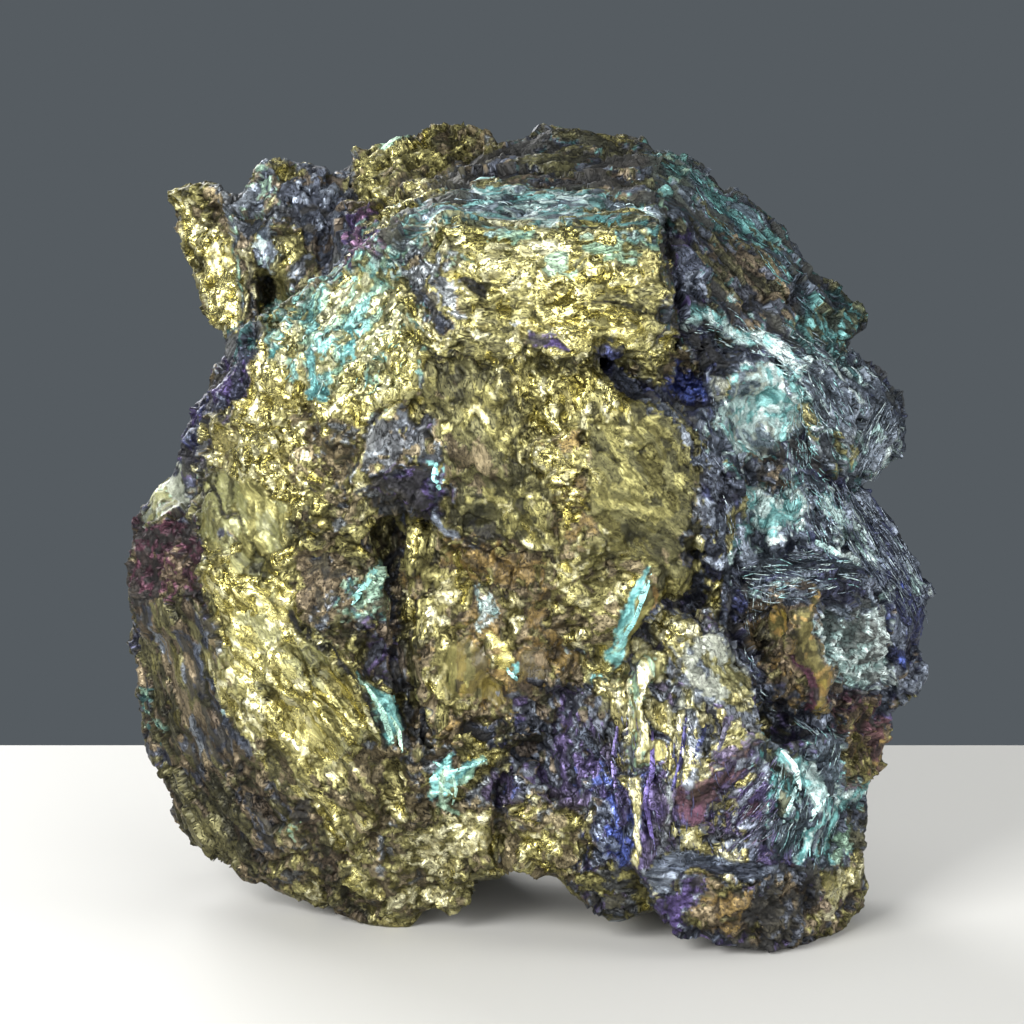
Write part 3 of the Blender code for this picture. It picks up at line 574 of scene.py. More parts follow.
        soft=0.5, hackle=0.9, grain=(-75, 2.2),
    ),
    "bright_blue": Patch(
        (34, -153, 62, -153, 62, -179, 40, -177), mix(blue=66, steel=34), soft=0.5, hackle=0.9,
        grain=(-60, 2),
    ),
    "violet_blades": Patch(
        (61, -100, 89, -106, 83, -144, 67, -178, 61, -144), mix(violet=50, indigo=22, steel=16, olive=12),
        grain=(-80, 3),
    ),
    "gold_tongue": Patch(
        (88, -144, 94, -129, 119, -108, 130, -113, 118, -134, 94, -152), mix(cream=46, brass=30, olive=24),
        soft=0.25, hackle=0.8, grain=(40, 1.8),
    ),
    "gold_tongue_left": Patch(
        (74, -89, 89, -89, 86, -133, 73, -144), mix(cream=34, olive=36, steel=16, violet=14), soft=0.4,
        hackle=0.9, grain=(-80, 3),
    ),
    "maroon_patch": Patch(
        (83, -140, 107, -130, 107, -154, 89, -156), mix(maroon=44, violet=30, slate=26), soft=0.4, hackle=0.5,
        grain=(30, 1.5),
    ),
    "violet_fan": Patch(
        (107, -129, 134, -122, 138, -181, 114, -182), mix(violet=42, steel=26, maroon=18, slate=14), soft=0.5,
        hackle=0.9, grain=(50, 2.5),
    ),
    "lower_gold": Patch(
        (86, -157, 103, -156, 101, -173, 88, -173), mix(cream=60, olive=40), soft=0.25, hackle=0.8,
    ),
    "pale_column": Patch(
        (54, -61, 68, -60, 66, -120, 56, -121), mix(cream=50, olive=26, mint=14, steel=10), soft=0.15,
        hackle=0.5, grain=(-86, 6),
    ),
    "pale_column_low": Patch(
        (50, -126, 57, -124, 66, -180, 61, -186), mix(cream=60, olive=30, steel=10), soft=0.1, hackle=0.5,
        grain=(-75, 6),
    ),
    "olive_column": Patch(
        (71, -90, 82, -90, 82, -160, 76, -164), mix(olive=46, cream=30, steel=24), soft=0.15, hackle=0.7,
        grain=(-86, 5),
    ),
    "gold_cushion": Patch(
        (-14, -146, 28, -147, 28, -187, -13, -184), mix(brass=38, cream=16, olive=20, bronze=26), soft=0.4,
        hackle=1.1,
    ),
    "arch_face": Patch(
        (22, -181, 68, -188, 73, -209, 39, -204), mix(slate=12, moss=12, olive=62, brass=14), hackle=1.1,
        grain=(0, 1.5),
    ),
    # The right column, the bulge and the fin
    "column": Patch(
        (89, 110, 146, 111, 153, 33, 153, -11, 120, -12, 121, 32, 98, 56),
        mix(steel=26, slate=40, silk=10, indigo=18, teal=6), soft=0.4, grain=(-80, 2),
    ),
    "shade_under_roof": Patch(
        (89, 116, 117, 106, 128, 108, 94, 97), mix(slate=40, soot=30, indigo=20, steel=10), soft=0.4,
        grain=(0, 1.5),
    ),
    "white_bowl": Patch(
        (98, 94, 130, 99, 146, 89, 148, 57, 129, 42, 109, 56),
        mix(silk=44, turquoise=20, steel=18, clear_grey=18), hackle=0.6, grain=(-50, 1.4),
    ),
    "bowl_bright": Patch((116, 82, 134, 83, 143, 70, 122, 60), mix(turquoise=50, silk=50), hackle=0.4),
    "bowl_grey": Patch(
        (98, 98, 114, 100, 118, 80, 101, 79), mix(clear_grey=56, olive=32, soot=12), hackle=0.7,
    ),
    "brown_overhang": Patch((116, 50, 146, 53, 144, 39, 126, 34), mix(bronze=56, soot=28, steel=16)),
    "turquoise_ledge": Patch(
        (124, 28, 151, 36, 151, 6, 129, 4), mix(silk=50, turquoise=36, clear_grey=14), hackle=0.6,
        grain=(70, 2),
    ),
    "cyan_bit": Patch((153, 1, 174, 2, 173, -11, 157, -10), mix(turquoise=1), soft=0.2, hackle=0.3),
    "bulge": Patch(
        (142, 106, 178, 103, 208, 72, 198, 32, 171, 27, 150, 32, 148, 67),
        mix(steel=36, slate=28, silk=16, teal=20), soft=0.4, grain=(-52, 3.5),
    ),
    "bulge_olive": Patch(
        (153, 67, 178, 61, 179, 43, 161, 43), mix(olive=34, steel=36, cream=14, teal=16), soft=0.5,
        hackle=0.8, grain=(-50, 2),
    ),
    "bulge_crease": Patch((150, 56, 170, 33), mix(indigo=40, soot=30, slate=30), width=0.5, grain=(-50, 2)),
    "bulge_edge": Patch(
        (188, 49, 208, 61, 202, 33, 191, 26), mix(slate=52, maroon=22, steel=26), soft=0.25, grain=(-60, 4),
    ),
    "flutes_upper": Patch(
        (184, 80, 206, 78, 208, 56, 190, 39, 182, 56), mix(steel=52, silk=20, slate=28), soft=0.4,
        grain=(62, 5),
    ),
    "fibre_line": Patch(
        (89, 119, 101, 123, 112, 127, 134, 108, 151, 93), mix(silk=55, turquoise=20, steel=25), width=0.42,
        soft=0.25, hackle=0.8, grain=(-35, 4),
    ),
    "fin": Patch(
        (170, 29, 196, 23, 223, -36, 214, -41, 196, -23, 173, -4),
        mix(steel=34, indigo=28, silk=14, slate=24), hackle=1.1, grain=(-56, 6),
    ),
    "fin_gap": Patch(
        (150, 32, 173, 28, 178, -11, 153, -11), mix(slate=42, steel=24, silk=10, indigo=24), soft=0.4,
        grain=(-60, 3),
    ),
    "fibre_ledge": Patch(
        (118, -11, 179, -3, 184, -22, 146, -34, 120, -40), mix(silk=26, steel=34, slate=32, indigo=8),
        soft=0.4, grain=(4, 5),
    ),
    # The knob and what lies below it
    "knob": Patch(
        (118, -34, 144, -19, 196, -22, 219, -39, 214, -79, 196, -101, 161, -102, 127, -84),
        mix(steel=40, indigo=18, bronze=20, slate=22), soft=0.4, grain=(0, 1.5),
    ),
    "brown_cavity": Patch(
        (121, -40, 143, -33, 157, -83, 148, -91, 124, -68), mix(bronze=44, soot=24, moss=20, ochre=12),
        grain=(60, 1.5),
    ),
    "ochre_strip": Patch(
        (137, -34, 157, -30, 168, -96, 159, -99, 150, -62), mix(amber=60, ochre=26, moss=14), soft=0.2,
        hackle=0.15, grain=(80, 1.4),
    ),
    "maroon_line": Patch(
        (144, -59, 153, -76, 157, -92), mix(maroon=80, soot=20), width=0.26, soft=0.15, hackle=0.5,
    ),
    "silver_cluster": Patch(
        (161, -37, 198, -33, 202, -78, 179, -84, 166, -73), mix(silk=74, soot=26), soft=0.35, hackle=1.4,
    ),
    "indigo_rim": Patch(
        (181, -11, 221, -39, 218, -64, 203, -59, 194, -29), mix(indigo=54, blue=16, steel=30), hackle=0.9,
        grain=(-60, 2.5),
    ),
    "knob_base": Patch((169, -90, 197, -88, 197, -103, 178, -107), mix(maroon=46, soot=34, bronze=20)),
    "crevice_line": Patch(
        (121, -11, 119, -39, 123, -73, 150, -101, 172, -110), mix(indigo=30, slate=40, soot=30), width=0.36,
        soft=0.2, grain=(-60, 2),
    ),
    "nub": Patch(
        (171, -100, 200, -100, 198, -129, 178, -133), mix(ochre=10, olive=38, bronze=34, maroon=18), soft=0.4,
        grain=(0, 1.2),
    ),
    "fluted_side": Patch(
        (131, -112, 172, -112, 176, -179, 137, -181), mix(steel=20, slate=36, turquoise=20, silk=8, moss=16),
        soft=0.4, grain=(78, 4),
    ),
    "flute_one": Patch(
        (140, -116, 149, -128, 152, -139), mix(turquoise=50, silk=50), width=0.42, soft=0.2, hackle=0.5,
        grain=(80, 3),
    ),
    "flute_two": Patch(
        (160, -138, 152, -158, 143, -176), mix(turquoise=90, silk=10), width=0.3, soft=0.15, hackle=0.4,
        grain=(70, 3),
    ),
    "flute_three": Patch(
        (173, -140, 164, -163), mix(turquoise=80, teal=20), width=0.28, soft=0.15, hackle=0.4, grain=(70, 3),
    ),
    "turquoise_lump": Patch(
        (166, -129, 188, -129, 187, -144, 170, -144), mix(turquoise=50, silk=40, teal=10), hackle=0.7,
    ),
    "green_crumbs": Patch((167, -159, 184, -161, 182, -176, 171, -173), mix(mint=50, teal=30, slate=20)),
    "steel_band": Patch(
        (78, -184, 106, -179, 137, -187), mix(steel=66, slate=34), width=0.55, soft=0.2, hackle=0.7,
        grain=(4, 4),
    ),
    "brown_patch": Patch(
        (89, -191, 123, -191, 122, -222, 96, -217), mix(ochre=12, bronze=38, olive=24, moss=26), soft=0.25,
        hackle=0.8,
    ),
    "violet_edge": Patch(
        (78, -196, 90, -192, 90, -214, 81, -209), mix(violet=60, soot=40), soft=0.2, hackle=0.8,
    ),
    "right_foot": Patch(
        (123, -189, 181, -181, 183, -217, 150, -230, 124, -229), mix(soot=30, bronze=28, slate=22, olive=20),
        soft=0.4, hackle=1.2,
    ),
    "cream_lump": Patch((153, -182, 180, -183, 178, -199, 157, -199), mix(cream=40, olive=60), hackle=0.8),
    "pink_line": Patch(
        (156, -200, 177, -200), mix(magenta=34, cream=30, bronze=36), width=0.35, soft=0.2, hackle=0.8,
    ),
    # The hidden back: the same ore, with broad brassy faces, a dark seam and films of tarnish
    "back_brass_top": Patch(
        (-120, 200, -10, 190, 30, 90, -60, 50, -140, 90), mix(brass=40, cream=12, olive=32, bronze=16),
        soft=0.8, side=Side.BACK,
    ),
    "back_teal_shoulder": Patch(
        (20, 200, 120, 170, 150, 90, 80, 60, 20, 100), mix(teal=22, moss=34, slate=30, turquoise=14),
        soft=1.4, grain=(-40, 2.5), side=Side.BACK,
    ),
    "back_slab": Patch(
        (-210, 80, -80, 50, -60, -70, -150, -100, -220, -40), mix(olive=40, moss=24, bronze=24, steel=12),
        soft=0.9, hackle=1.1, grain=(70, 2), side=Side.BACK,
    ),
    "back_gold_face": Patch(
        (-50, 40, 60, 60, 80, -40, 10, -90, -60, -50), mix(brass=44, cream=14, olive=26, ochre=16), soft=0.6,
        hackle=0.9, grain=(-30, 1.6), side=Side.BACK,
    ),
    "back_steel_flank": Patch(
        (90, 90, 190, 140, 260, 90, 260, -90, 120, -90, 90, -30),
        mix(steel=34, slate=32, indigo=16, silk=10, moss=8), soft=0.8, grain=(-60, 3), side=Side.BACK,
    ),
    "back_violet_foot": Patch(
        (20, -110, 120, -100, 140, -180, 40, -190), mix(violet=16, steel=26, slate=34, maroon=24), soft=0.8,
        grain=(70, 2), side=Side.BACK,
    ),
    "back_bronze_foot": Patch(
        (-140, -100, 0, -100, 0, -200, -130, -200), mix(bronze=36, olive=28, moss=22, slate=14), soft=0.8,
        hackle=1.2, side=Side.BACK,
    ),
    "back_turquoise_fleck": Patch(
        (-100, 120, -70, 130, -50, 90, -80, 75), mix(turquoise=50, mint=30, teal=20), soft=0.6, hackle=0.7,
        side=Side.BACK,
    ),
    "back_turquoise_tail": Patch(
        (40, -30, 70, -60, 90, -110), mix(turquoise=34, steel=36, teal=30), width=0.45, soft=0.8,
        side=Side.BACK,
    ),
    "back_maroon_crust": Patch(
        (-200, 30, -150, 40, -140, -10, -190, -30), mix(maroon=60, bronze=24, soot=16), soft=0.6,
        side=Side.BACK,
    ),
    "back_seam": Patch(
        (-40, 170, -20, 90, 30, 50, 80, 10, 100, -80, 80, -170), mix(soot=40, slate=34, indigo=26), width=0.3,
        soft=0.5, side=Side.BACK,
    ),
    "back_crack": Patch(
        (-180, -80, -100, -70, -40, -95, 20, -90), mix(soot=60, indigo=20, slate=20), width=0.3,
        side=Side.BACK,
    ),
    "back_steel_crust": Patch(
        (-30, -20, 10, 0, 30, -40, -10, -60), mix(clear_grey=50, steel=30, olive=20), soft=0.5, hackle=0.5,
        side=Side.BACK,
    ),
}


@dataclass(frozen=True)
class FaceFrame:
    """The broken front face: how it leans, where its middle is, and the point that it is seen from."""

    lean_deg: float = 13.0
    middle_mm: tuple = (0.06, -2.58, 21.05)
    view_distance_mm: float = 287.5
    view_axis_mm: tuple = (-1.0, 1.56)

    def directions(self) -> np.ndarray:
        """Works out the face's own directions.

        Returns:
            Across, up and out as rows, in the stone's own axes.
        """
        lean = math.radians(self.lean_deg)
        return np.array((
            (1.0, 0.0, 0.0),
            (0.0, math.sin(lean), math.cos(lean)),
            (0.0, -math.cos(lean), math.sin(lean)),
        ))

    def from_stone(self, points: np.ndarray) -> np.ndarray:
        """Turns points of the stone in millimetres to face millimetres."""
        return (points - np.array(self.middle_mm)) @ self.directions().T

    def to_stone(self, places: np.ndarray) -> np.ndarray:
        """Turns places in face millimetres back to points of the stone."""
        return places @ self.directions() + np.array(self.middle_mm)

    def facing(self, normals: np.ndarray) -> np.ndarray:
        """How far each normal looks out towards the front, from -1 to 1."""
        return (normals @ self.directions().T)[:, 2]

    def seen(self, places: np.ndarray) -> np.ndarray:
        """Works out where places show on the face from the viewpoint.

        Args:
            places: Places in face millimetres.

        Returns:
            One row of across and up for each.
        """
        axis = np.array(self.view_axis_mm)
        nearness = (self.view_distance_mm - places[:, 2:]) / self.view_distance_mm
        return axis + (places[:, :2] - axis) / nearness

    def behind(self, shown: np.ndarray, out: np.ndarray) -> np.ndarray:
        """Finds the places that show at given points of the face: the reverse of seen.

        Args:
            shown: Points of the face as (across, up).
            out: How far out each place is.

        Returns:
            The places in face millimetres.
        """
        axis = np.array(self.view_axis_mm)
        nearness = (self.view_distance_mm - out[:, None]) / self.view_distance_mm
        return np.column_stack((axis + (shown - axis) * nearness, out))


class Lattice:
    """Random numbers at the points of a cubic lattice that repeats after a while.

    They give soft noise, and the way ore breaks: into blocks around scattered centres.
    """

    def __init__(self, seed: int, channels: int = 8, cells: int = 48) -> None:
        """Draws the numbers.

        Args:
            seed: What the random numbers start from.
            channels: How many numbers each lattice point has.
            cells: After how many points the lattice repeats.
        """
        self.cells = cells
        self.table = np.random.default_rng(seed).random((cells, cells, cells, channels), dtype=np.float32)

    def at(self, points: np.ndarray) -> np.ndarray:
        """The numbers of whole-numbered lattice points."""
        wrapped = np.mod(points, self.cells)
        return self.table[wrapped[:, 0], wrapped[:, 1], wrapped[:, 2]]

    def soft(self, places: np.ndarray, size: float, channels: int = 3) -> np.ndarray:
        """Soft noise from -1 to 1: the numbers of the eight points around, blended by a smooth step.

        Args:
            places: Where the noise is wanted.
            size: The spacing of the lattice in the same unit.
            channels: How many independent values each place gets.

        Returns:
            One row of values for each place.
        """
        scaled = places / size
        corner = np.floor(scaled).astype(np.int64)
        share = (scaled - corner).astype(np.float32)
        share = share * share * (3.0 - 2.0 * share)
        total = np.zeros((len(places), channels), np.float32)
        for step in np.ndindex(2, 2, 2):
            weight = np.prod(np.where(np.array(step) == 1, share, 1.0 - share), axis=1)
            total += self.at(corner + np.array(step))[:, :channels] * weight[:, None]
        return 2.0 * total - 1.0

    def swing(self, places: np.ndarray, size: float) -> np.ndarray:
        """One soft number from -1 to 1 for each place."""
        return self.soft(places, size, 1)[:, 0]

    def broken(
        self, places: np.ndarray, size: float, drawn_out: float = 1.0
    ) -> tuple[np.ndarray, np.ndarray, np.ndarray]:
        """Shares space out among scattered centres, one to each lattice cube.

        Each centre measures distances with its own stretched ruler, so its share of space is a leaf
        that lies in its own direction.

        Args:
            places: Where the surface is.
            size: The usual distance between two centres.
            drawn_out: How much longer than wide a leaf is.

        Returns:
            For each place the numbers of its nearest centre, its offset from that centre, and its
            distance from the border with the next one.
        """
        cell = np.floor(places / size).astype(np.int64)
        count = len(places)
        first = np.full(count, np.inf, np.float32)
        second = np.full(count, np.inf, np.float32)
        numbers = np.zeros((count, self.table.shape[3]), np.float32)
        offsets = np.zeros((count, 3), np.float32)
        for step in np.ndindex(3, 3, 3):
            lattice = cell + np.array(step) - 1
            drawn = self.at(lattice)
            offset = (places - (lattice + drawn[:, :3]) * size).astype(np.float32)
            turn = drawn[:, -1] * math.pi
            along = offset[:, 0] * np.cos(turn) + offset[:, 1] * np.sin(turn)
            ruler = along * along * (1.0 / drawn_out - drawn_out)
            distance = np.sqrt((offset * offset).sum(axis=1) * drawn_out + ruler)
            closer = distance < first
            second = np.where(closer, first, np.minimum(second, distance))
            first = np.where(closer, distance, first)
            numbers[closer] = drawn[closer]
            offsets[closer] = offset[closer]
        return numbers, offsets, (second - first) / 2.0


def ramp(values: np.ndarray, start: float, width: float) -> np.ndarray:
    """A straight rise from 0 at start to 1 where the value is greater by width, and level around it."""
    return np.clip((values - start) / width, 0.0, 1.0)


def distance_to_line(shown: np.ndarray, line: np.ndarray, closed: bool) -> np.ndarray:
    """The distance of each point from the nearest run of a line, in the line's own plane.

    Args:
        shown: The points as (across, up).
        line: The line's own points.
        closed: Whether a last run leads back to its start.

    Returns:
        One distance for each point.
    """
    ends = np.roll(line, -1, axis=0) if closed else line[1:]
    nearest = np.full(len(shown), np.inf)
    for start, end in zip(line, ends):
        run = end - start
        share = np.clip((shown - start) @ run / (run @ run), 0.0, 1.0)
        nearest = np.minimum(nearest, np.linalg.norm(shown - start - share[:, None] * run, axis=1))
    return nearest


def inside_ring(shown: np.ndarray, ring: np.ndarray) -> np.ndarray:
    """Whether each point is inside a closed ring: a ray to the right crosses it an odd number of times.

    Args:
        shown: The points as (across, up).
        ring: The ring's corners.

    Returns:
        True or false for each point.
    """
    inside = np.zeros(len(shown), bool)
    for start, end in zip(ring, np.roll(ring, -1, axis=0)):
        if start[1] == end[1]:
            continue
        between = (start[1] > shown[:, 1]) != (end[1] > shown[:, 1])
        crossing = start[0] + (shown[:, 1] - start[1]) * (end[0] - start[0]) / (end[1] - start[1])
        inside ^= between & (shown[:, 0] < crossing)
    return inside


@dataclass
class Ground:
    """What the map of areas says about each point: its mix of finishes and how it is broken.

    grain is the angle of its grain, stretch how far that is drawn out, and sunk how deep a crack is.
    """

    shares: np.ndarray
    hackle: np.ndarray
    grain: np.ndarray
    stretch: np.ndarray
    sunk: np.ndarray


@dataclass
class OreMap:
    """Lays the areas over the stone, with borders that wander as broken borders do."""

    face: FaceFrame
    wander_mm: float = 1.0
    wander_size_mm: float = 2.3
    fray_mm: float = 0.42
    fray_size_mm: float = 0.75
    fray_shift: float = 31.0
    crack_depth_mm: float = 0.45
    area_softness: float = 3.0
    ground_stretch: float = 1.3
    hackle_swing: float = 0.35
    hackle_size_mm: float = 2.3
    hackle_shift: float = 53.0
    # The front's areas end where the skin faces this far back, and fade in over a little more
    front_edge: float = -0.35
    front_fade: float = 0.2
    lattice: Lattice = field(default_factory=lambda: Lattice(11))

    def read(self, places: np.ndarray, facing: np.ndarray) -> Ground:
        """Reads the map at places on the stone.

        Args:
            places: Places in face millimetres.
            facing: How far the skin there looks out towards the front, from -1 to 1.

        Returns:
            The ground at each place.
        """
        count = len(places)
        shown = self.face.seen(places)
        shown = shown + self.wander_mm * self.lattice.soft(places, self.wander_size_mm, 2)
        shown = shown + self.fray_mm * self.lattice.soft(places + self.fray_shift, self.fray_size_mm, 2)
        ground = Ground(
            np.tile(GROUND_MIX.astype(np.float32), (count, 1)),
            np.ones(count, np.float32),
            np.zeros(count, np.float32),
            np.full(count, self.ground_stretch, np.float32),
            np.zeros(count, np.float32),
        )
        front = ramp(facing, self.front_edge, self.front_fade)
        for patch in PATCHES.values():
            self.lay(patch, shown, front if patch.side is Side.FRONT else 1.0 - front, ground)
        swing = self.lattice.swing(places + self.hackle_shift, self.hackle_size_mm)
        ground.hackle *= 1.0 + self.hackle_swing * swing
        return ground

    def lay(self, patch: Patch, shown: np.ndarray, allowed: np.ndarray, ground: Ground) -> None:
        """Lays one area over what is there.

        Args:
            patch: The area.
            shown: Where each point shows on the face.
            allowed: How far each point is on the area's side of the stone.
            ground: The ground, which is changed.
        """
        line = line_mm(patch.outline)
        is_line = patch.width > 0.0
        soft = patch.soft * (1.0 if is_line else self.area_softness)
        reach = patch.width + soft
        low = line.min(axis=0) - reach
        high = line.max(axis=0) + reach
        near = np.flatnonzero(np.all((shown > low) & (shown < high), axis=1) & (allowed > 0.0))
        if len(near) == 0:
            return
        spots = shown[near]
        if is_line:
            depth = patch.width - distance_to_line(spots, line, False)
        else:
            depth = distance_to_line(spots, line, True)
            depth = np.where(inside_ring(spots, line), depth, -depth)
        share = np.clip(0.5 + depth / soft, 0.0, 1.0) * allowed[near]
        blend = patch.shares.astype(np.float32)
        ground.shares[near] += (blend - ground.shares[near]) * share[:, None]
        ground.hackle[near] += (patch.hackle - ground.hackle[near]) * share
        if is_line:
            # A line with painted black shade is also sunk as a real crack, as deep as its share of that shade
            sink = patch.shares[TONES.index(Tone.SOOT)] * self.crack_depth_mm
            ground.sunk[near] = np.maximum(ground.sunk[near], sink * share)
        taken = near[share > 0.5]
        angle, ground.stretch[taken] = patch.grain
        ground.grain[taken] = math.radians(angle)


def pick_tones(shares: np.ndarray, draws: np.ndarray) -> np.ndarray:
    """Picks a finish for each point: the first whose running share passes the drawn number.

    Args:
        shares: Each point's mix of finishes.
        draws: A number from 0 to 1 for each point.

    Returns:
        The number of each point's finish.
    """
    running = np.cumsum(shares, axis=1)
    return np.minimum((running <= (draws * running[:, -1])[:, None]).sum(axis=1), len(TONES) - 1)


def blended(deep: np.ndarray, bright: np.ndarray, crest: np.ndarray) -> np.ndarray:
    """Colours between deep ones and bright ones, by how far each point is a crest."""
    return deep + (bright - deep) * np.clip(crest, 0.0, 1.0)[:, None]


def mean_colour(shares: np.ndarray, crest: np.ndarray) -> np.ndarray:
    """The mix's own colour at each point: its finishes' colours weighted by their shares."""
    crest = np.clip(crest, 0.0, 1.0)[:, None]
    return (shares @ DEEP) * (1.0 - crest) + (shares @ BRIGHT) * crest


def grain_place(places: np.ndarray, ground: Ground) -> np.ndarray:
    """Turns places to the grain's own directions, with the length along it divided by its stretch.

    Args:
        places: Places in face millimetres.
        ground: The ground there.

    Returns:
        Along, across and out of the grain as rows.
    """
    turn_cos = np.cos(ground.grain)
    turn_sin = np.sin(ground.grain)
    along = (places[:, 0] * turn_cos + places[:, 1] * turn_sin) / ground.stretch
    across = places[:, 1] * turn_cos - places[:, 0] * turn_sin
    return np.column_stack((along, across, places[:, 2]))


def new_object(name: str, mesh: bpy.types.Mesh, material: bpy.types.Material) -> bpy.types.Object:
    """Puts a mesh with its material into the scene as a piece that rides on the stone's body.

    Args:
        name: The piece's name.
        mesh: Its mesh.
        material: Its one material.

    Returns:
        The new piece.
    """
    mesh.materials.clear()
    mesh.materials.append(material)
    piece = bpy.data.objects.new(name, mesh)
    bpy.context.scene.collection.objects.link(piece)
    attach(piece, BODY)
    LOG.info("%s: %d triangles", name, len(mesh.loops) - 2 * len(mesh.polygons))
    return piece


def mesh_from_faces(
    name: str, points_mm: np.ndarray, corners: np.ndarray, sizes: np.ndarray
) -> bpy.types.Mesh:
    """Makes a mesh from whole arrays.

    Args:
        name: The mesh's name.
        points_mm: The points in millimetres, in the stone's own axes.
        corners: The point number of each face corner, face after face.
        sizes: How many corners each face has.

    Returns:
        The new mesh.
    """
    mesh = bpy.data.meshes.new(name)
    mesh.vertices.add(len(points_mm))
    mesh.vertices.foreach_set("co", (points_mm * METRES_PER_MM).astype(np.float32).ravel())
    mesh.loops.add(len(corners))
    mesh.loops.foreach_set("vertex_index", corners.astype(np.int32))
    mesh.polygons.add(len(sizes))
    starts = np.concatenate(((0,), np.cumsum(sizes)[:-1])).astype(np.int32)
    mesh.polygons.foreach_set("loop_start", starts)
    mesh.update(calc_edges=True)
    mesh.validate()
    return mesh


def write_values(mesh: bpy.types.Mesh, **columns: np.ndarray) -> None:
    """Stores a number, a place or a colour for each point, as the width of its values says.

    Args:
        mesh: The mesh that gets them.
        columns: The values by the name that the material reads.
    """
    kinds = {1: ("FLOAT", "value"), 3: ("FLOAT_VECTOR", "vector"), 4: ("FLOAT_COLOR", "color")}
    for name, values in columns.items():
        kind, key = kinds[values.reshape(len(values), -1).shape[1]]
        attribute = mesh.attributes.new(name, kind, "POINT")
        attribute.data.foreach_set(key, values.astype(np.float32).ravel())


def with_alpha(colours: np.ndarray) -> np.ndarray:
    """Colours with a fourth value of 1."""
    return np.column_stack((colours, np.ones(len(colours))))


def mesh_arrays(mesh: bpy.types.Mesh) -> tuple[np.ndarray, np.ndarray]:
    """Reads a mesh's points and normals.

    Args:
        mesh: The mesh.

    Returns:
        The points in millimetres, and their normals.
    """
    points, normals = np.empty((2, len(mesh.vertices) * 3), np.float32)
    mesh.vertices.foreach_get("co", points)
    mesh.vertices.foreach_get("normal", normals)
    return points.reshape(-1, 3).astype(float) / METRES_PER_MM, normals.reshape(-1, 3).astype(float)


def edge_ends(mesh: bpy.types.Mesh) -> np.ndarray:
    """Reads a mesh's edges.

    Args:
        mesh: The mesh.

    Returns:
        The two point numbers of each edge.
    """
    ends = np.empty(len(mesh.edges) * 2, np.int32)
    mesh.edges.foreach_get("vertices", ends)
    return ends.reshape(-1, 2)


def unit(vectors: np.ndarray, least: float = 0.0) -> np.ndarray:
    """Vectors scaled to a length of 1, where they are longer than least."""
    return vectors / np.linalg.norm(vectors, axis=-1, keepdims=True).clip(least)


def evened(values: np.ndarray, ends: np.ndarray, rounds: int) -> np.ndarray:
    """Values averaged with those of the neighbours along the edges, several times over.

    Args:
        values: One row for each point.
        ends: The two point numbers of each edge.
        rounds: How many times.

    Returns:
        The evened values.
    """
    count = len(values)
    first, second = ends.T
    neighbours = np.bincount(ends.ravel(), minlength=count).clip(1)[:, None]
    for _ in range(rounds):
        total = np.column_stack([
            np.bincount(first, column[second], count) + np.bincount(second, column[first], count)
            for column in values.T
        ])
        values = 0.5 * values + 0.5 * total / neighbours
    return values


def add_node(
    tree: bpy.types.NodeTree, kind: str, options: dict | None = None, sockets: dict | None = None,
    output: str | int = 0,
) -> bpy.types.NodeSocket:
    """Adds a shader node with its settings and links.

    Args:
        tree: The tree that gets the node.
        kind: The node's type after "ShaderNode".
        options: Its own settings by name.
        sockets: Its inputs by name or number, each a value or the output that it is linked to.
        output: Which of its outputs is wanted.

    Returns:
        That output.
    """
    node = tree.nodes.new("ShaderNode" + kind)
    for name, value in (options or {}).items():
        setattr(node, name, value)
    for name, value in (sockets or {}).items():
        if isinstance(value, bpy.types.NodeSocket):
            tree.links.new(value, node.inputs[name])
        else:
            node.inputs[name].default_value = value
    return node.outputs[output]


def ends(values: tuple) -> dict[str, float]:
    """A map range node's four ends by name: from the first and second to the third and fourth."""
    return dict(zip(("From Min", "From Max", "To Min", "To Max"), values))


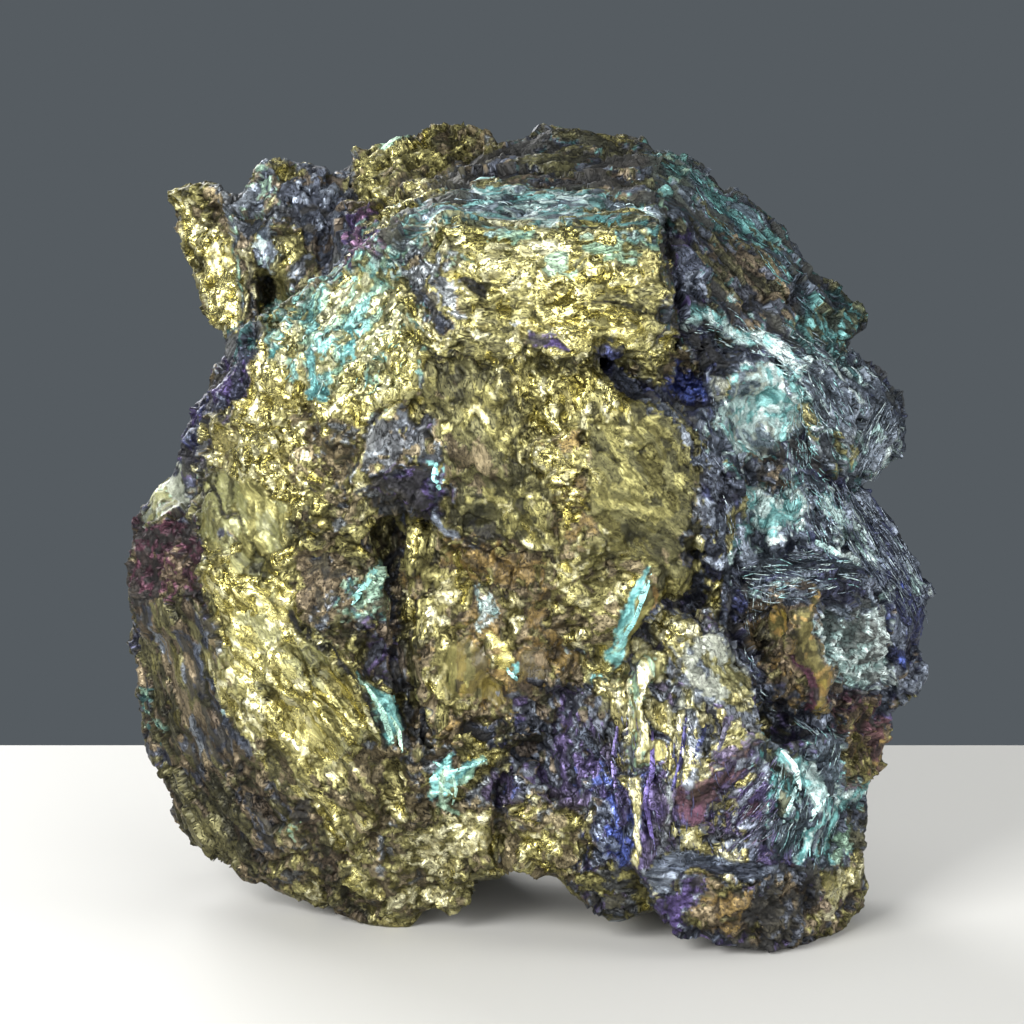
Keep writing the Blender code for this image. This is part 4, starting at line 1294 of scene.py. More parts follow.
@dataclass(frozen=True)
class SulphideOre:
    """Broken sulphide ore with a film of tarnish: satin metal, streaked and creased too finely to model.

    The eye sees each flake as a small dull mirror. Colour, metallic value and roughness come from the
    mesh, one set to each flake. The pattern here adds faint streaks within a flake, painted shade in thin
    dark creases that wind as in crushed foil, and a painted highlight on a bright ridge beside each. Real
    streaks and creases are under 0.05 mm wide and wouldn't show, so they are drawn wider. The mesh's
    hackle says how strong they are.
    """

    name: str = "tarnished_sulphide_ore"
    # How many finer layers both noises have, and how strong the streaks' ones are
    finer_layers: float = 2.0
    finer_share: float = 0.6
    # Streaks: their size, and from which part of the noise to which shade they go
    streak_mm: float = 0.16
    streaks: tuple = (0.3, 0.7, 0.56, 1.2)
    # Winding lines: their size and twist, and for the ridges' painted highlight and the creases' painted
    # shade where in the noise they run and how wide, then from which hackle to which they strengthen and
    # from which shade to which
    curl_mm: float = 0.26
    curl_twist: float = 1.6
    ridges: tuple = (0.56, 0.022, (0.2, 0.9, 1.0, 1.7))
    creases: tuple = (0.5, 0.046, (0.1, 0.7, 1.0, 0.12))
    # How far creases and streaks are sunk
    relief_mm: float = 0.05
    relief_strength: float = 0.8
    crease_share: float = 0.7

    def material(self) -> bpy.types.Material:
        """Builds the material's nodes.

        Returns:
            The material.
        """
        made = bpy.data.materials.new(self.name)
        made.use_nodes = True
        tree = made.node_tree
        place = add_node(tree, "Attribute", {"attribute_name": "grain_place"}, output="Vector")
        hackle, metal, rough = (
            add_node(tree, "Attribute", {"attribute_name": name}, output="Fac")
            for name in ("hackle", "metal", "rough")
        )
        noise = add_node(
            tree, "TexNoise", {},
            {
                "Vector": place, "Scale": 1.0 / self.streak_mm, "Detail": self.finer_layers,
                "Roughness": self.finer_share,
            },
        )
        tone = add_node(tree, "MapRange", {}, {"Value": noise, **ends(self.streaks)})
        curls = add_node(
            tree, "TexNoise", {},
            {
                "Vector": place, "Scale": 1.0 / self.curl_mm, "Detail": self.finer_layers,
                "Distortion": self.curl_twist,
            },
        )
        # The ridges' painted highlight comes first and the creases' painted shade last, and the creases'
        # line is used once more in the relief
        for middle, width, strength in (self.ridges, self.creases):
            off = add_node(tree, "Math", {"operation": "SUBTRACT"}, {0: curls, 1: middle})
            distance = add_node(tree, "Math", {"operation": "ABSOLUTE"}, {0: off})
            line = add_node(
                tree, "MapRange", {"interpolation_type": "SMOOTHSTEP"},
                {"Value": distance, "From Min": 0.0, "From Max": width},
            )
            shade = add_node(tree, "MapRange", {}, {"Value": hackle, **ends(strength)})
            drawn = add_node(tree, "MapRange", {}, {"Value": line, "To Min": shade, "To Max": 1.0})
            tone = add_node(tree, "Math", {"operation": "MULTIPLY"}, {0: tone, 1: drawn})
        tint = add_node(tree, "Attribute", {"attribute_name": "tint"}, output="Color")
        colour = add_node(tree, "VectorMath", {"operation": "SCALE"}, {0: tint, "Scale": tone})
        rise = add_node(
            tree, "Math", {"operation": "MULTIPLY_ADD"}, {0: line, 1: self.crease_share, 2: noise}
        )
        relief = add_node(tree, "Math", {"operation": "MULTIPLY"}, {0: rise, 1: hackle})
        normal = add_node(
            tree, "Bump", {},
            {"Strength": self.relief_strength, "Distance": self.relief_mm * METRES_PER_MM, "Height": relief},
        )
        shader = tree.nodes["Principled BSDF"]
        for name, output in (
            ("Base Color", colour), ("Metallic", metal), ("Roughness", rough), ("Normal", normal),
        ):
            tree.links.new(output, shader.inputs[name])
        return made


@dataclass
class Relief:
    """The broken relief at each point.

    height is in millimetres, numbers are the random numbers of the flake that the point is in, joint
    is 1 in a joint between flakes and 0 away from it, and grain is the place along the grain.
    """

    height: np.ndarray
    numbers: np.ndarray
    joint: np.ndarray
    grain: np.ndarray


@dataclass(frozen=True)
class Break:
    """Pieces of one size that the ore breaks into.

    slant is how steeply they lie, step how far they stand up or down as a share of their size, and joint
    how open their joints are, from 0 to 1.
    """

    size_mm: float
    slant: float
    step: float
    joint: float = 0.0


@dataclass
class Breakage:
    """How the ore breaks: into shallow blocks, and these into curled flakes with joints between them."""

    blocks: tuple = (Break(2.6, 0.10, 0.04), Break(1.2, 0.17, 0.06))
    # The larger flakes come first, and their random numbers are the ones that are kept
    flakes: tuple = (Break(0.52, 0.19, 0.06, 1.0), Break(0.27, 0.14, 0.035, 0.55))
    slant_scale: float = 3.4
    flake_shift: float = 7.7
    drawn_out: float = 2.4
    curl_mm: float = 0.22
    curl_size_mm: float = 0.55
    fine_curl: float = 2.3
    fine_curl_share: float = 0.5
    joint_mm: float = 0.045
    joint_depth_mm: float = 0.035
    hackle_limits: tuple = (0.06, 1.4)
    # A joint shows fully where the hackle times the first, plus the second, reaches 1
    joint_hackle: tuple = (1.3, -0.25)
    lattice: Lattice = field(default_factory=lambda: Lattice(23))

    def raised(self, height: np.ndarray, pieces: Break, numbers: np.ndarray, offsets: np.ndarray) -> None:
        """Adds a slanted plane through each piece's centre and its step up or down.

        Args:
            height: The height at each place, which is changed.
            pieces: The size of piece.
            numbers: The random numbers of each place's own piece.
            offsets: Each place's offset from the centre of its piece.
        """
        height += (offsets * (numbers[:, 3:6] - 0.5)).sum(axis=1) * self.slant_scale * pieces.slant
        height += (numbers[:, 6] - 0.5) * pieces.step * pieces.size_mm

    def relief(self, places: np.ndarray, ground: Ground) -> Relief:
        """Works out the relief at places on the stone.

        Each size shares space out among scattered centres. A flake's height is a slanted plane
        through its centre plus a step, and it falls away to the joint around it.

        Args:
            places: Places in face millimetres.
            ground: The ground there.

        Returns:
            The relief at each place.
        """
        grain = grain_place(places, ground)
        curl = self.lattice.soft(places, self.curl_size_mm)
        fine = self.lattice.soft(places, self.curl_size_mm / self.fine_curl)
        curl = curl + self.fine_curl_share * fine
        grain += (self.curl_mm / np.sqrt(ground.stretch))[:, None] * curl
        height = np.zeros(len(places))
        for block in self.blocks:
            numbers, offsets, _ = self.lattice.broken(grain, block.size_mm)
            self.raised(height, block, numbers, offsets)
        joint = np.zeros(len(places))
        kept = []
        for flake in self.flakes:
            shifted = grain + self.flake_shift * flake.size_mm
            numbers, offsets, border = self.lattice.broken(shifted, flake.size_mm, self.drawn_out)
            self.raised(height, flake, numbers, offsets)
            joint = np.maximum(joint, np.exp(-((border / self.joint_mm) ** 2)) * flake.joint)
            kept.append(numbers)
        height -= self.joint_depth_mm * joint
        height = height * np.clip(ground.hackle, *self.hackle_limits) - ground.sunk
        gain, start = self.joint_hackle
        return Relief(height, kept[0], joint * np.clip(ground.hackle * gain + start, 0.0, 1.0), grain)


@dataclass
class StoneSurface:
    """The stone's even surface before it is broken: its points, soft normals and quads.

    hollow is 0 on open ground and 1 in the bottom of a groove.
    """

    points: np.ndarray
    normals: np.ndarray
    quads: np.ndarray
    hollow: np.ndarray


@dataclass
class OreSkin:
    """The stone's own surface in place of the plain solid, broken into flakes.

    One closed skin goes all round. In front, where the flakes show best, closed slabs of a finer
    crust lie on it. A slab's top is the skin's quads cut in four, its underside the quads as they
    are, and a wall joins the two. Each slab takes in the next row of quads beyond its border, which
    dips under the next slab, so no seam shows between them.
    """

    face: FaceFrame
    ore_map: OreMap
    material: bpy.types.Material
    breakage: Breakage = field(default_factory=Breakage)
    name: str = "ore_skin"
    slabs: tuple = ("lower_left_crust", "upper_left_crust", "lower_right_crust", "upper_right_crust")
    voxel_mm: float = 0.25
    most_faces: int = 160_000
    merge_m: float = 1e-6
    # How often points and normals are averaged with their neighbours
    point_rounds: int = 2
    normal_rounds: int = 5
    wide_rounds: int = 70
    thin_normal_rounds: int = 8
    thin_wide_rounds: int = 40
    dress_rounds: int = 6
    # Where the front's crust begins and how it lies there
    crust_edge: float = 0.02
    crust_fade: float = 0.12
    crust_lift_mm: float = 0.03
    crust_dive_mm: float = 0.16
    crust_depth_mm: float = 0.40
    overlap_dip_mm: float = 0.05
    under_crust_mm: float = 0.25
    under_fade: float = 0.2
    # The relief dies out towards the feet, and is less where the skin turns from front to back
    foot_fade_mm: float = 0.5
    rim_relief: float = 0.35
    rim_width: float = 0.45
    # Which finish a flake takes: slow waves over the stone, waves along the grain and its own number
    wave_shift: float = 17.0
    waves: tuple = ((0.9, 3.1), (0.8, 1.1))
    own_wave: float = 1.25
    wave_contrast: float = 3.3
    # How bright it is: by its height above the even surface, as a painted highlight on raised flakes
    # and painted shade on sunk ones, by its own number and by the joint around it
    crest_middle: float = 0.5
    painted_light_by_rise: float = 2.0
    crest_own: float = 1.1
    crest_joint: float = 0.4
    joint_shade: float = 0.6
    shade_range: tuple = (0.86, 0.28)
    hue_spread: float = 0.78
    # Painted shade with some dark tarnish in grooves: this dark navy is mixed in by how deep a point lies
    # below a much smoother surface
    hollow_shade_and_tarnish_hex: str = "#15161f"
    hollow_shade_and_tarnish_share: float = 0.5
    hollow_start_mm: float = 0.06
    hollow_depth_mm: float = 0.65

    def merged_copy(self) -> bpy.types.Object:
        """Copies the plain solid and joins its loose triangles at their corners.

        Returns:
            The copy, as an object of its own.
        """
        mesh = bmesh.new()
        mesh.from_mesh(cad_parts[CAD_NODE].data)
        bmesh.ops.remove_doubles(mesh, verts=mesh.verts, dist=self.merge_m)
        data = bpy.data.meshes.new(self.name)
        mesh.to_mesh(data)
        mesh.free()
        copy = bpy.data.objects.new(self.name + "_work", data)
        bpy.context.scene.collection.objects.link(copy)
        return copy

    def modified(self, piece: bpy.types.Object, kind: str, **settings: object) -> bpy.types.Mesh:
        """Puts a modifier's result in place of a piece's mesh.

        Args:
            piece: The piece.
            kind: The modifier's type.
            settings: Its settings by name.

        Returns:
            The new mesh.
        """
        modifier = piece.modifiers.new(kind.title(), kind)
        for name, value in settings.items():
            setattr(modifier, name, value)
        graph = bpy.context.evaluated_depsgraph_get()
        shaped = bpy.data.meshes.new_from_object(piece.evaluated_get(graph))
        piece.modifiers.remove(modifier)
        piece.data = shaped
        return shaped

    def hollow(self, points: np.ndarray, wide: np.ndarray, normals: np.ndarray) -> np.ndarray:
        """How far each point lies below a much smoother surface, from 0 to 1."""
        rise = ((points - wide) * normals).sum(axis=1)
        return ramp(-rise, self.hollow_start_mm, self.hollow_depth_mm)

    def broken_out(
        self, points: np.ndarray, normals: np.ndarray, facing: np.ndarray, height: np.ndarray,
        lift: np.ndarray,
    ) -> np.ndarray:
        """Moves points out along their normals by the broken relief and by a lift.

        Args:
            points: Points on the even surface.
            normals: Their normals.
            facing: How clearly they face one way, from 0 to 1.
            height: The relief's height.
            lift: How far the whole skin lies above the even surface there.

        Returns:
            The moved points.
        """
        above = ramp(points[:, 2], 0.0, self.foot_fade_mm)
        calm = self.rim_relief + (1.0 - self.rim_relief) * ramp(facing, 0.0, self.rim_width)
        return points + normals * ((height * calm + lift) * above)[:, None]

    def build(self) -> list[np.ndarray]:
        """Builds the skin that goes all round and the slabs of crust on it.

        Returns:
            The points of each slab's broken top.
        """
        work = self.merged_copy()
        mesh = self.modified(work, "REMESH", mode="VOXEL", voxel_size=self.voxel_mm * METRES_PER_MM)
        points, normals = mesh_arrays(mesh)
        ends = edge_ends(mesh)
        points = evened(points, ends, self.point_rounds)
        normals = unit(evened(normals, ends, self.normal_rounds))
        corners = np.empty(len(mesh.loops), np.int32)
        mesh.loops.foreach_get("vertex_index", corners)
        hollow = self.hollow(points, evened(points, ends, self.wide_rounds), normals)
        even = StoneSurface(points, normals, corners.reshape(-1, 4), hollow)
        self.closed_skin(work, even)
        bpy.data.objects.remove(work, do_unlink=True)
        return self.crust(even)

    def closed_skin(self, work: bpy.types.Object, even: StoneSurface) -> None:
        """Breaks the skin that goes all round, thins its faces and dresses it.

        Args:
            work: The object that holds the even skin.
            even: The same as arrays.
        """
        places = self.face.from_stone(even.points)
        facing = self.face.facing(even.normals)
        relief = self.breakage.relief(places, self.ore_map.read(places, facing))
        under = self.under_crust_mm * ramp(facing - self.crust_edge, self.crust_fade, self.under_fade)
        moved = self.broken_out(even.points, even.normals, np.abs(facing), relief.height, -under)
        work.data.vertices.foreach_set("co", (moved * METRES_PER_MM).astype(np.float32).ravel())
        work.data.update()
        ratio = min(1.0, self.most_faces / (2 * len(work.data.polygons)))
        mesh = self.modified(work, "DECIMATE", ratio=ratio, use_collapse_triangulate=True)
        points, normals = mesh_arrays(mesh)
        ends = edge_ends(mesh)
        normals = evened(normals, ends, self.thin_normal_rounds)
        hollow = self.hollow(points, evened(points, ends, self.thin_wide_rounds), normals)
        self.dress(mesh, points, evened(points, ends, self.dress_rounds), normals, hollow)
        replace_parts(new_object(self.name, mesh, self.material), CAD_NODE)

    def dress(
        self, mesh: bpy.types.Mesh, points: np.ndarray, wide: np.ndarray, normals: np.ndarray,
        hollow: np.ndarray,
    ) -> None:
        """Stores each point's finish, with a painted highlight on crests, darker joints, and painted shade
        with some dark tarnish in hollows.

        Args:
            mesh: The mesh that gets the values.
            points: Its points in millimetres.
            wide: The same points on the even surface.
            normals: Soft normals.
            hollow: How deep each lies in a groove, from 0 to 1, which sets its painted shade.
        """
        places = self.face.from_stone(wide)
        ground = self.ore_map.read(places, self.face.facing(normals))
        relief = self.breakage.relief(places, ground)
        flake = relief.numbers
        (slow, slow_size), (fine, fine_size) = self.waves
        wave = slow * self.breakage.lattice.swing(places + self.wave_shift, slow_size)
        wave = wave + fine * self.breakage.lattice.swing(relief.grain, fine_size)
        wave += self.own_wave * (flake[:, 4] - 0.5)
        picked = pick_tones(ground.shares, 1.0 / (1.0 + np.exp(-self.wave_contrast * wave)))
        # Painted light: flakes above the even surface get more of their finish's bright colour, those below
        # it more of its deep colour
        rise = ((points - wide) * normals).sum(axis=1)
        crest = self.crest_middle + self.painted_light_by_rise * rise + self.crest_own * (flake[:, 5] - 0.5)
        crest = crest - self.crest_joint * relief.joint
        colour = blended(DEEP[picked], BRIGHT[picked], crest)
        even_colour = mean_colour(ground.shares, crest)
        colour = even_colour + (colour - even_colour) * self.hue_spread
        darkest, spread = self.shade_range
        shade = (1.0 - self.joint_shade * relief.joint) * (darkest + spread * flake[:, 3])
        colour = colour * shade[:, None]
        # Painted shade, with some dark tarnish, deepening towards the bottom of each groove
        colour += (linear_colour(self.hollow_shade_and_tarnish_hex) - colour) * (hollow * self.hollow_shade_and_tarnish_share)[:, None]
        write_values(
            mesh, tint=with_alpha(colour), metal=METALLIC[picked], rough=ROUGHNESS[picked],
            hackle=ground.hackle, grain_place=relief.grain,
        )

    def crust(self, even: StoneSurface) -> list[np.ndarray]:
        """Cuts the front of the even surface into four slabs of crust.

        Args:
            even: The even surface.

        Returns:
            The points of each slab's broken top.
        """
        facing = self.face.facing(even.normals)
        front = np.flatnonzero(facing[even.quads].mean(axis=1) > self.crust_edge)
        middles = self.face.from_stone(even.points[even.quads[front]].mean(axis=1))
        right = middles[:, 0] > np.median(middles[:, 0])
        tops = []
        for number, name in enumerate(self.slabs):
            side = right == (number >= 2)
            upper = middles[:, 1] > np.median(middles[side, 1])
            own = np.zeros(len(even.points), bool)
            own[even.quads[front[side & (upper == (number % 2 == 1))]]] = True
            quads = even.quads[front[own[even.quads[front]].any(axis=1)]]
            tops.append(self.slab(name, even, quads, own))
        return tops

    def slab(self, name: str, even: StoneSurface, quads: np.ndarray, own: np.ndarray) -> np.ndarray:
        """Builds one closed slab of fine crust over some quads.

        Args:
            name: The piece's name.
            even: The even surface.
            quads: The quads, as rows of four point numbers.
            own: Which points are the slab's own. The rest dip under the next slab.

        Returns:
            The points of its broken top.
        """
        used, local = np.unique(quads, return_inverse=True)
        local = local.reshape(-1, 4)
        count = len(used)
        ends = np.stack((local, np.roll(local, -1, axis=1)), axis=2).reshape(-1, 2)
        edges, edge_of, uses = np.unique(
            np.sort(ends, axis=1), axis=0, return_inverse=True, return_counts=True
        )
        edge_of = edge_of.reshape(-1, 4)

        def refined(values: np.ndarray) -> np.ndarray:
            """The values at each corner, then their means at each edge and each quad."""
            return np.concatenate((values, values[edges].mean(axis=1), values[local].mean(axis=1)))

        points, normals, deep = even.points[used], even.normals[used], even.hollow[used]
        tops, looks, dips = refined(points), unit(refined(normals)), refined(~own[used]) > 0.0
        facing = self.face.facing(looks)
        places = self.face.from_stone(tops)
        relief = self.breakage.relief(places, self.ore_map.read(places, facing))
        lift = ramp(facing, self.crust_edge, self.crust_fade)
        lift = self.crust_lift_mm * lift - self.crust_dive_mm * (1.0 - lift) - self.overlap_dip_mm * dips
        broken = self.broken_out(tops, looks, facing, relief.height, lift)
        under = points - normals * self.crust_depth_mm
        under[:, 2] = np.maximum(under[:, 2], 0.0)
        first = len(broken)
        half = edge_of + count
        middle = np.arange(len(local)) + count + len(edges)
        cut = np.stack([
            np.column_stack((local[:, turn], half[:, turn], middle, half[:, turn - 1])) for turn in range(4)
        ], axis=1).reshape(-1, 4)
        rim = np.flatnonzero(uses[edge_of.ravel()] == 1)
        start, end = ends[rim].T
        walls = np.column_stack((end, half.ravel()[rim], start, start + first, end + first))
        corners = np.concatenate((cut.ravel(), local[:, ::-1].ravel() + first, walls.ravel()))
        sizes = np.concatenate((np.full(len(cut) + len(local), 4), np.full(len(walls), 5)))
        every = np.concatenate((broken, under))
        mesh = mesh_from_faces(name, every, corners, sizes)
        mesh.polygons.foreach_set("use_smooth", np.arange(len(sizes)) < len(cut))
        self.dress(
            mesh, every, np.concatenate((tops, under)), np.concatenate((looks, normals)),
            np.concatenate((refined(deep), deep)),
        )
        new_object(name, mesh, self.material)
        return broken


class HeightField:
    """How far out the front of the stone reaches, on a grid of (across, up) as it is seen."""

    def __init__(
        self, face: FaceFrame, points: list[np.ndarray], cell_mm: float = 0.15, margin_mm: float = 1.0,
        fill_rounds: int = 2,
    ) -> None:
        """Keeps the foremost point over each cell, and fills empty cells from their neighbours.

        Args:
            face: The broken front face.
            points: The points of the front, in the stone's own axes.
            cell_mm: The grid's spacing.
            margin_mm: How far it goes on around the points.
            fill_rounds: How many cells far the filling goes.
        """
        places = face.from_stone(np.concatenate(points))
        shown = face.seen(places)
        self.cell_mm = cell_mm
        self.corner = shown.min(axis=0) - margin_mm
        size = np.ceil((shown.max(axis=0) + margin_mm - self.corner) / cell_mm).astype(int) + 1
        self.out = np.full(size, -np.inf)
        cells = ((shown - self.corner) / cell_mm).astype(int)
        np.maximum.at(self.out, (cells[:, 0], cells[:, 1]), places[:, 2])
        for _ in range(fill_rounds):
            around = [np.roll(self.out, step, axis) for axis in (0, 1) for step in (1, -1)]
            self.out = np.where(np.isfinite(self.out), self.out, np.max(around, axis=0))

    def at(self, shown: np.ndarray) -> np.ndarray:
        """Reads the height along rods.

        Args:
            shown: Each rod's points as (across, up).

        Returns:
            One row of heights for each rod, with -inf off the stone.
        """
        cells = ((shown - self.corner) / self.cell_mm).astype(int)
        cells = np.clip(cells, 0, np.array(self.out.shape) - 1)
        return self.out[cells[..., 0], cells[..., 1]]


@dataclass(frozen=True)
class Sheaf:
    """A sheaf of fine silky fibres that lie on the stone.

    outline lists across and up in turn for each corner of the ring that they start in. The fibres'
    lengths and directions vary about length_mm and grain_deg, and curl says how far they bend.
    """

    outline: tuple
    shares: np.ndarray
    grain_deg: float
    count: int
    length_mm: float
    curl: float
    length_spread: float = 0.3
    angle_spread: float = 0.10
    curled_spread: float = 0.2
    bend_size_mm: float = 1.4
    own_bend: float = 0.5
    shared_turn: float = 0.6
    # Far more starts are drawn than there are fibres, as many fall outside the ring
    spare_starts: int = 6

    def paths(self, lattice: Lattice, draws: np.random.Generator, steps: int) -> np.ndarray:
        """Lays the fibres: each sets off along the grain and is turned a little by soft noise.

        Args:
            lattice: The noise.
            draws: The random numbers.
            steps: How many points a fibre has.

        Returns:
            The (across, up) points of each fibre.
        """
        ring = line_mm(self.outline)
        low, high = ring.min(axis=0), ring.max(axis=0)
        starts = low + (high - low) * draws.random((self.count * self.spare_starts, 2))
        starts = starts[inside_ring(starts, ring)][: self.count]
        count = len(starts)
        length = self.length_mm * np.exp(draws.normal(0.0, self.length_spread, count))
        spread = self.angle_spread + self.curled_spread * self.curl
        angle = math.radians(self.grain_deg) + draws.normal(0.0, spread, count)
        noise = lattice.soft(np.column_stack((starts, np.zeros(count))), self.bend_size_mm, 2)
        bend = self.curl * (noise[:, :1] + self.own_bend * draws.normal(0.0, 1.0, (count, 1)))
        share = (np.arange(steps) + 0.5) / steps - 0.5
        turned = angle[:, None] + bend * share[None, :] * 2.0 + self.curl * noise[:, 1:] * self.shared_turn
        run = np.stack((np.cos(turned), np.sin(turned)), axis=2) * (length / steps)[:, None, None]
        return starts[:, None, :] + np.cumsum(run, axis=1) - run.sum(axis=1, keepdims=True) / 2.0


@dataclass(frozen=True)
class Blade:
    """A flat crystal blade that lies on the stone. path lists across and up in turn for each point."""

    path: tuple
    width_mm: float
    thickness_mm: float
    shares: np.ndarray

    def points(self, steps: int) -> np.ndarray:
        """Shares the path out into even steps.

        Args:
            steps: How many points are wanted.

        Returns:
            One row of across and up for each.
        """
        line = line_mm(self.path)
        runs = np.concatenate(((0.0,), np.cumsum(np.linalg.norm(np.diff(line, axis=0), axis=1))))
        wanted = np.linspace(0.0, runs[-1], steps)
        return np.column_stack([np.interp(wanted, runs, line[:, axis]) for axis in (0, 1)])


SHEAVES = (
    # Fibre line
    Sheaf(
        (88, 124, 111, 128, 136, 116, 153, 97, 147, 89, 122, 104, 94, 112),
        mix(silk=34, turquoise=20, steel=26, slate=20), grain_deg=-28, count=107, length_mm=0.86, curl=0.5,
    ),
    # Bulge fibres
    Sheaf(
        (137, 110, 164, 106, 189, 89, 194, 67, 178, 39, 158, 34, 146, 56, 150, 78),
        mix(silk=20, steel=30, turquoise=18, teal=12, slate=20), grain_deg=-54, count=232, length_mm=0.79,
        curl=0.5,
    ),
    # Bulge top fibres
    Sheaf(
        (128, 117, 150, 121, 178, 107, 200, 82, 194, 78, 172, 93, 144, 106),
        mix(silk=24, steel=30, turquoise=16, slate=30), grain_deg=-36, count=125, length_mm=0.72, curl=0.5,
    ),
    # Upper flutes
    Sheaf(
        (184, 77, 207, 79, 208, 56, 194, 34, 182, 39), mix(steel=50, silk=20, slate=30), grain_deg=62,
        count=152, length_mm=1.3, curl=0.15,
    ),
    # Bowl rim fibres
    Sheaf(
        (142, 78, 153, 77, 157, 50, 150, 22, 144, -11, 133, -11, 141, 33),
        mix(silk=26, turquoise=26, steel=24, slate=24), grain_deg=-80, count=120, length_mm=0.86, curl=0.5,
    ),
    # Gap fibres
    Sheaf(
        (150, 33, 171, 30, 179, 11, 178, -11, 153, -11), mix(silk=22, steel=30, indigo=28, turquoise=20),
        grain_deg=-66, count=138, length_mm=0.86, curl=0.4,
    ),
    # Fin fibres
    Sheaf(
        (171, 29, 188, 27, 208, -4, 222, -33, 216, -42, 194, -28, 178, -3),
        mix(steel=36, silk=16, slate=26, indigo=22), grain_deg=-55, count=232, length_mm=1.8, curl=0.15,
    ),
    # Ledge fibres
    Sheaf(
        (118, -9, 150, -4, 184, -14, 184, -28, 150, -33, 120, -40),
        mix(silk=24, steel=30, slate=34, turquoise=12), grain_deg=2, count=174, length_mm=0.94, curl=0.5,
    ),
    # Rope fibres
    Sheaf(
        (98, 80, 108, 78, 121, 39, 123, -11, 111, -28, 101, 11, 94, 50),
        mix(steel=36, slate=40, silk=12, indigo=12), grain_deg=-78, count=88, length_mm=0.72, curl=0.6,
    ),
    # Knob rim fibres
    Sheaf(
        (119, -22, 144, -19, 139, -28, 128, -44, 123, -78, 118, -56), mix(steel=40, silk=20, slate=40),
        grain_deg=-84, count=53, length_mm=0.72, curl=0.4,
    ),
    # Crevice fibres
    Sheaf(
        (118, -56, 126, -89, 150, -108, 173, -110, 171, -102, 150, -100, 130, -83),
        mix(steel=30, turquoise=16, silk=14, slate=40), grain_deg=-42, count=107, length_mm=0.79, curl=0.4,
    ),
    # Flute fibres
    Sheaf(
        (133, -114, 173, -112, 176, -133, 164, -181, 139, -181, 134, -144),
        mix(turquoise=26, silk=14, steel=30, slate=30), grain_deg=74, count=147, length_mm=0.86, curl=0.3,
    ),
    # Roof fibres
    Sheaf(
        (69, 211, 94, 206, 128, 173, 164, 133, 157, 124, 119, 161, 89, 191),
        mix(turquoise=20, teal=36, slate=44), grain_deg=-46, count=139, length_mm=0.86, curl=0.4,
    ),
    # Band fibres
    Sheaf(
        (-70, 182, -50, 191, 17, 194, 67, 191, 69, 179, 17, 177, -44, 174),
        mix(silk=20, steel=40, turquoise=20, slate=20), grain_deg=3, count=87, length_mm=0.72, curl=0.6,
    ),
    # Mass fibres
    Sheaf(
        (39, -89, 61, -83, 94, -100, 117, -122, 106, -178, 61, -183, 33, -178),
        mix(steel=30, violet=24, slate=30, indigo=16), grain_deg=-78, count=208, length_mm=0.79, curl=0.3,
    ),
    # Fan fibres
    Sheaf(
        (107, -144, 137, -120, 139, -144, 133, -181, 103, -181), mix(steel=40, violet=30, maroon=20, silk=10),
        grain_deg=50, count=91, length_mm=1.2, curl=0.2,
    ),
    # Slab fibres
    Sheaf(
        (-144, 117, -72, 133, -70, 83, -111, 78, -133, 83), mix(turquoise=40, mint=30, silk=30), grain_deg=60,
        count=51, length_mm=0.58, curl=0.9,
    ),
)

BLADES = {
    "dark_blades": (
        Blade((98, -101, 94, -114, 91, -122), 0.36, 0.18, mix(indigo=70, slate=30)),
        Blade((111, -98, 107, -110, 103, -120), 0.34, 0.18, mix(slate=60, maroon=40)),
        Blade((68, -106, 68, -128, 64, -144, 69, -172), 0.36, 0.18, mix(indigo=70, violet=30)),
        Blade((87, -98, 84, -122, 78, -142), 0.3, 0.18, mix(violet=50, indigo=50)),
        Blade((49, -101, 46, -122, 48, -144), 0.3, 0.18, mix(slate=60, violet=40)),
    ),
    "turquoise_slivers": (
        Blade((69, -17, 63, -30, 58, -44, 48, -61), 0.4, 0.14, mix(turquoise=80, silk=20)),
        Blade((148, -137, 144, -147, 141, -157), 0.36, 0.15, mix(turquoise=70, silk=30)),
        Blade((166, -141, 158, -151, 152, -162), 0.34, 0.15, mix(turquoise=80, silk=20)),
        Blade((139, -116, 147, -126, 150, -139), 0.46, 0.17, mix(silk=60, turquoise=40)),
        Blade((-92, -80, -82, -96, -76, -113), 0.46, 0.15, mix(turquoise=70, mint=30)),
        Blade((-79, -96, -73, -106, -71, -118), 0.3, 0.14, mix(mint=70, turquoise=30)),
        Blade((-54, -123, -43, -129, -24, -122), 0.26, 0.13, mix(mint=50, turquoise=50)),
        Blade((-43, -129, -41, -139, -43, -147), 0.22, 0.13, mix(mint=60, turquoise=40)),
        Blade((-52, -131, -48, -138, -39, -143), 0.22, 0.13, mix(mint=70, turquoise=30)),
        Blade((-52, 43, -53, 34, -50, 28), 0.42, 0.14, mix(turquoise=90, silk=10)),
        Blade((-99, -36, -94, -27, -84, -14), 0.5, 0.14, mix(mint=50, turquoise=50)),
        Blade((37, -67, 34, -76, 32, -83), 0.42, 0.14, mix(turquoise=70, teal=30)),
        Blade((-14, -69, -11, -73, -7, -78), 0.36, 0.14, mix(turquoise=70, silk=30)),
        Blade((157, 0, 164, -4, 173, -9), 0.46, 0.14, mix(turquoise=80, silk=20)),
    ),
}


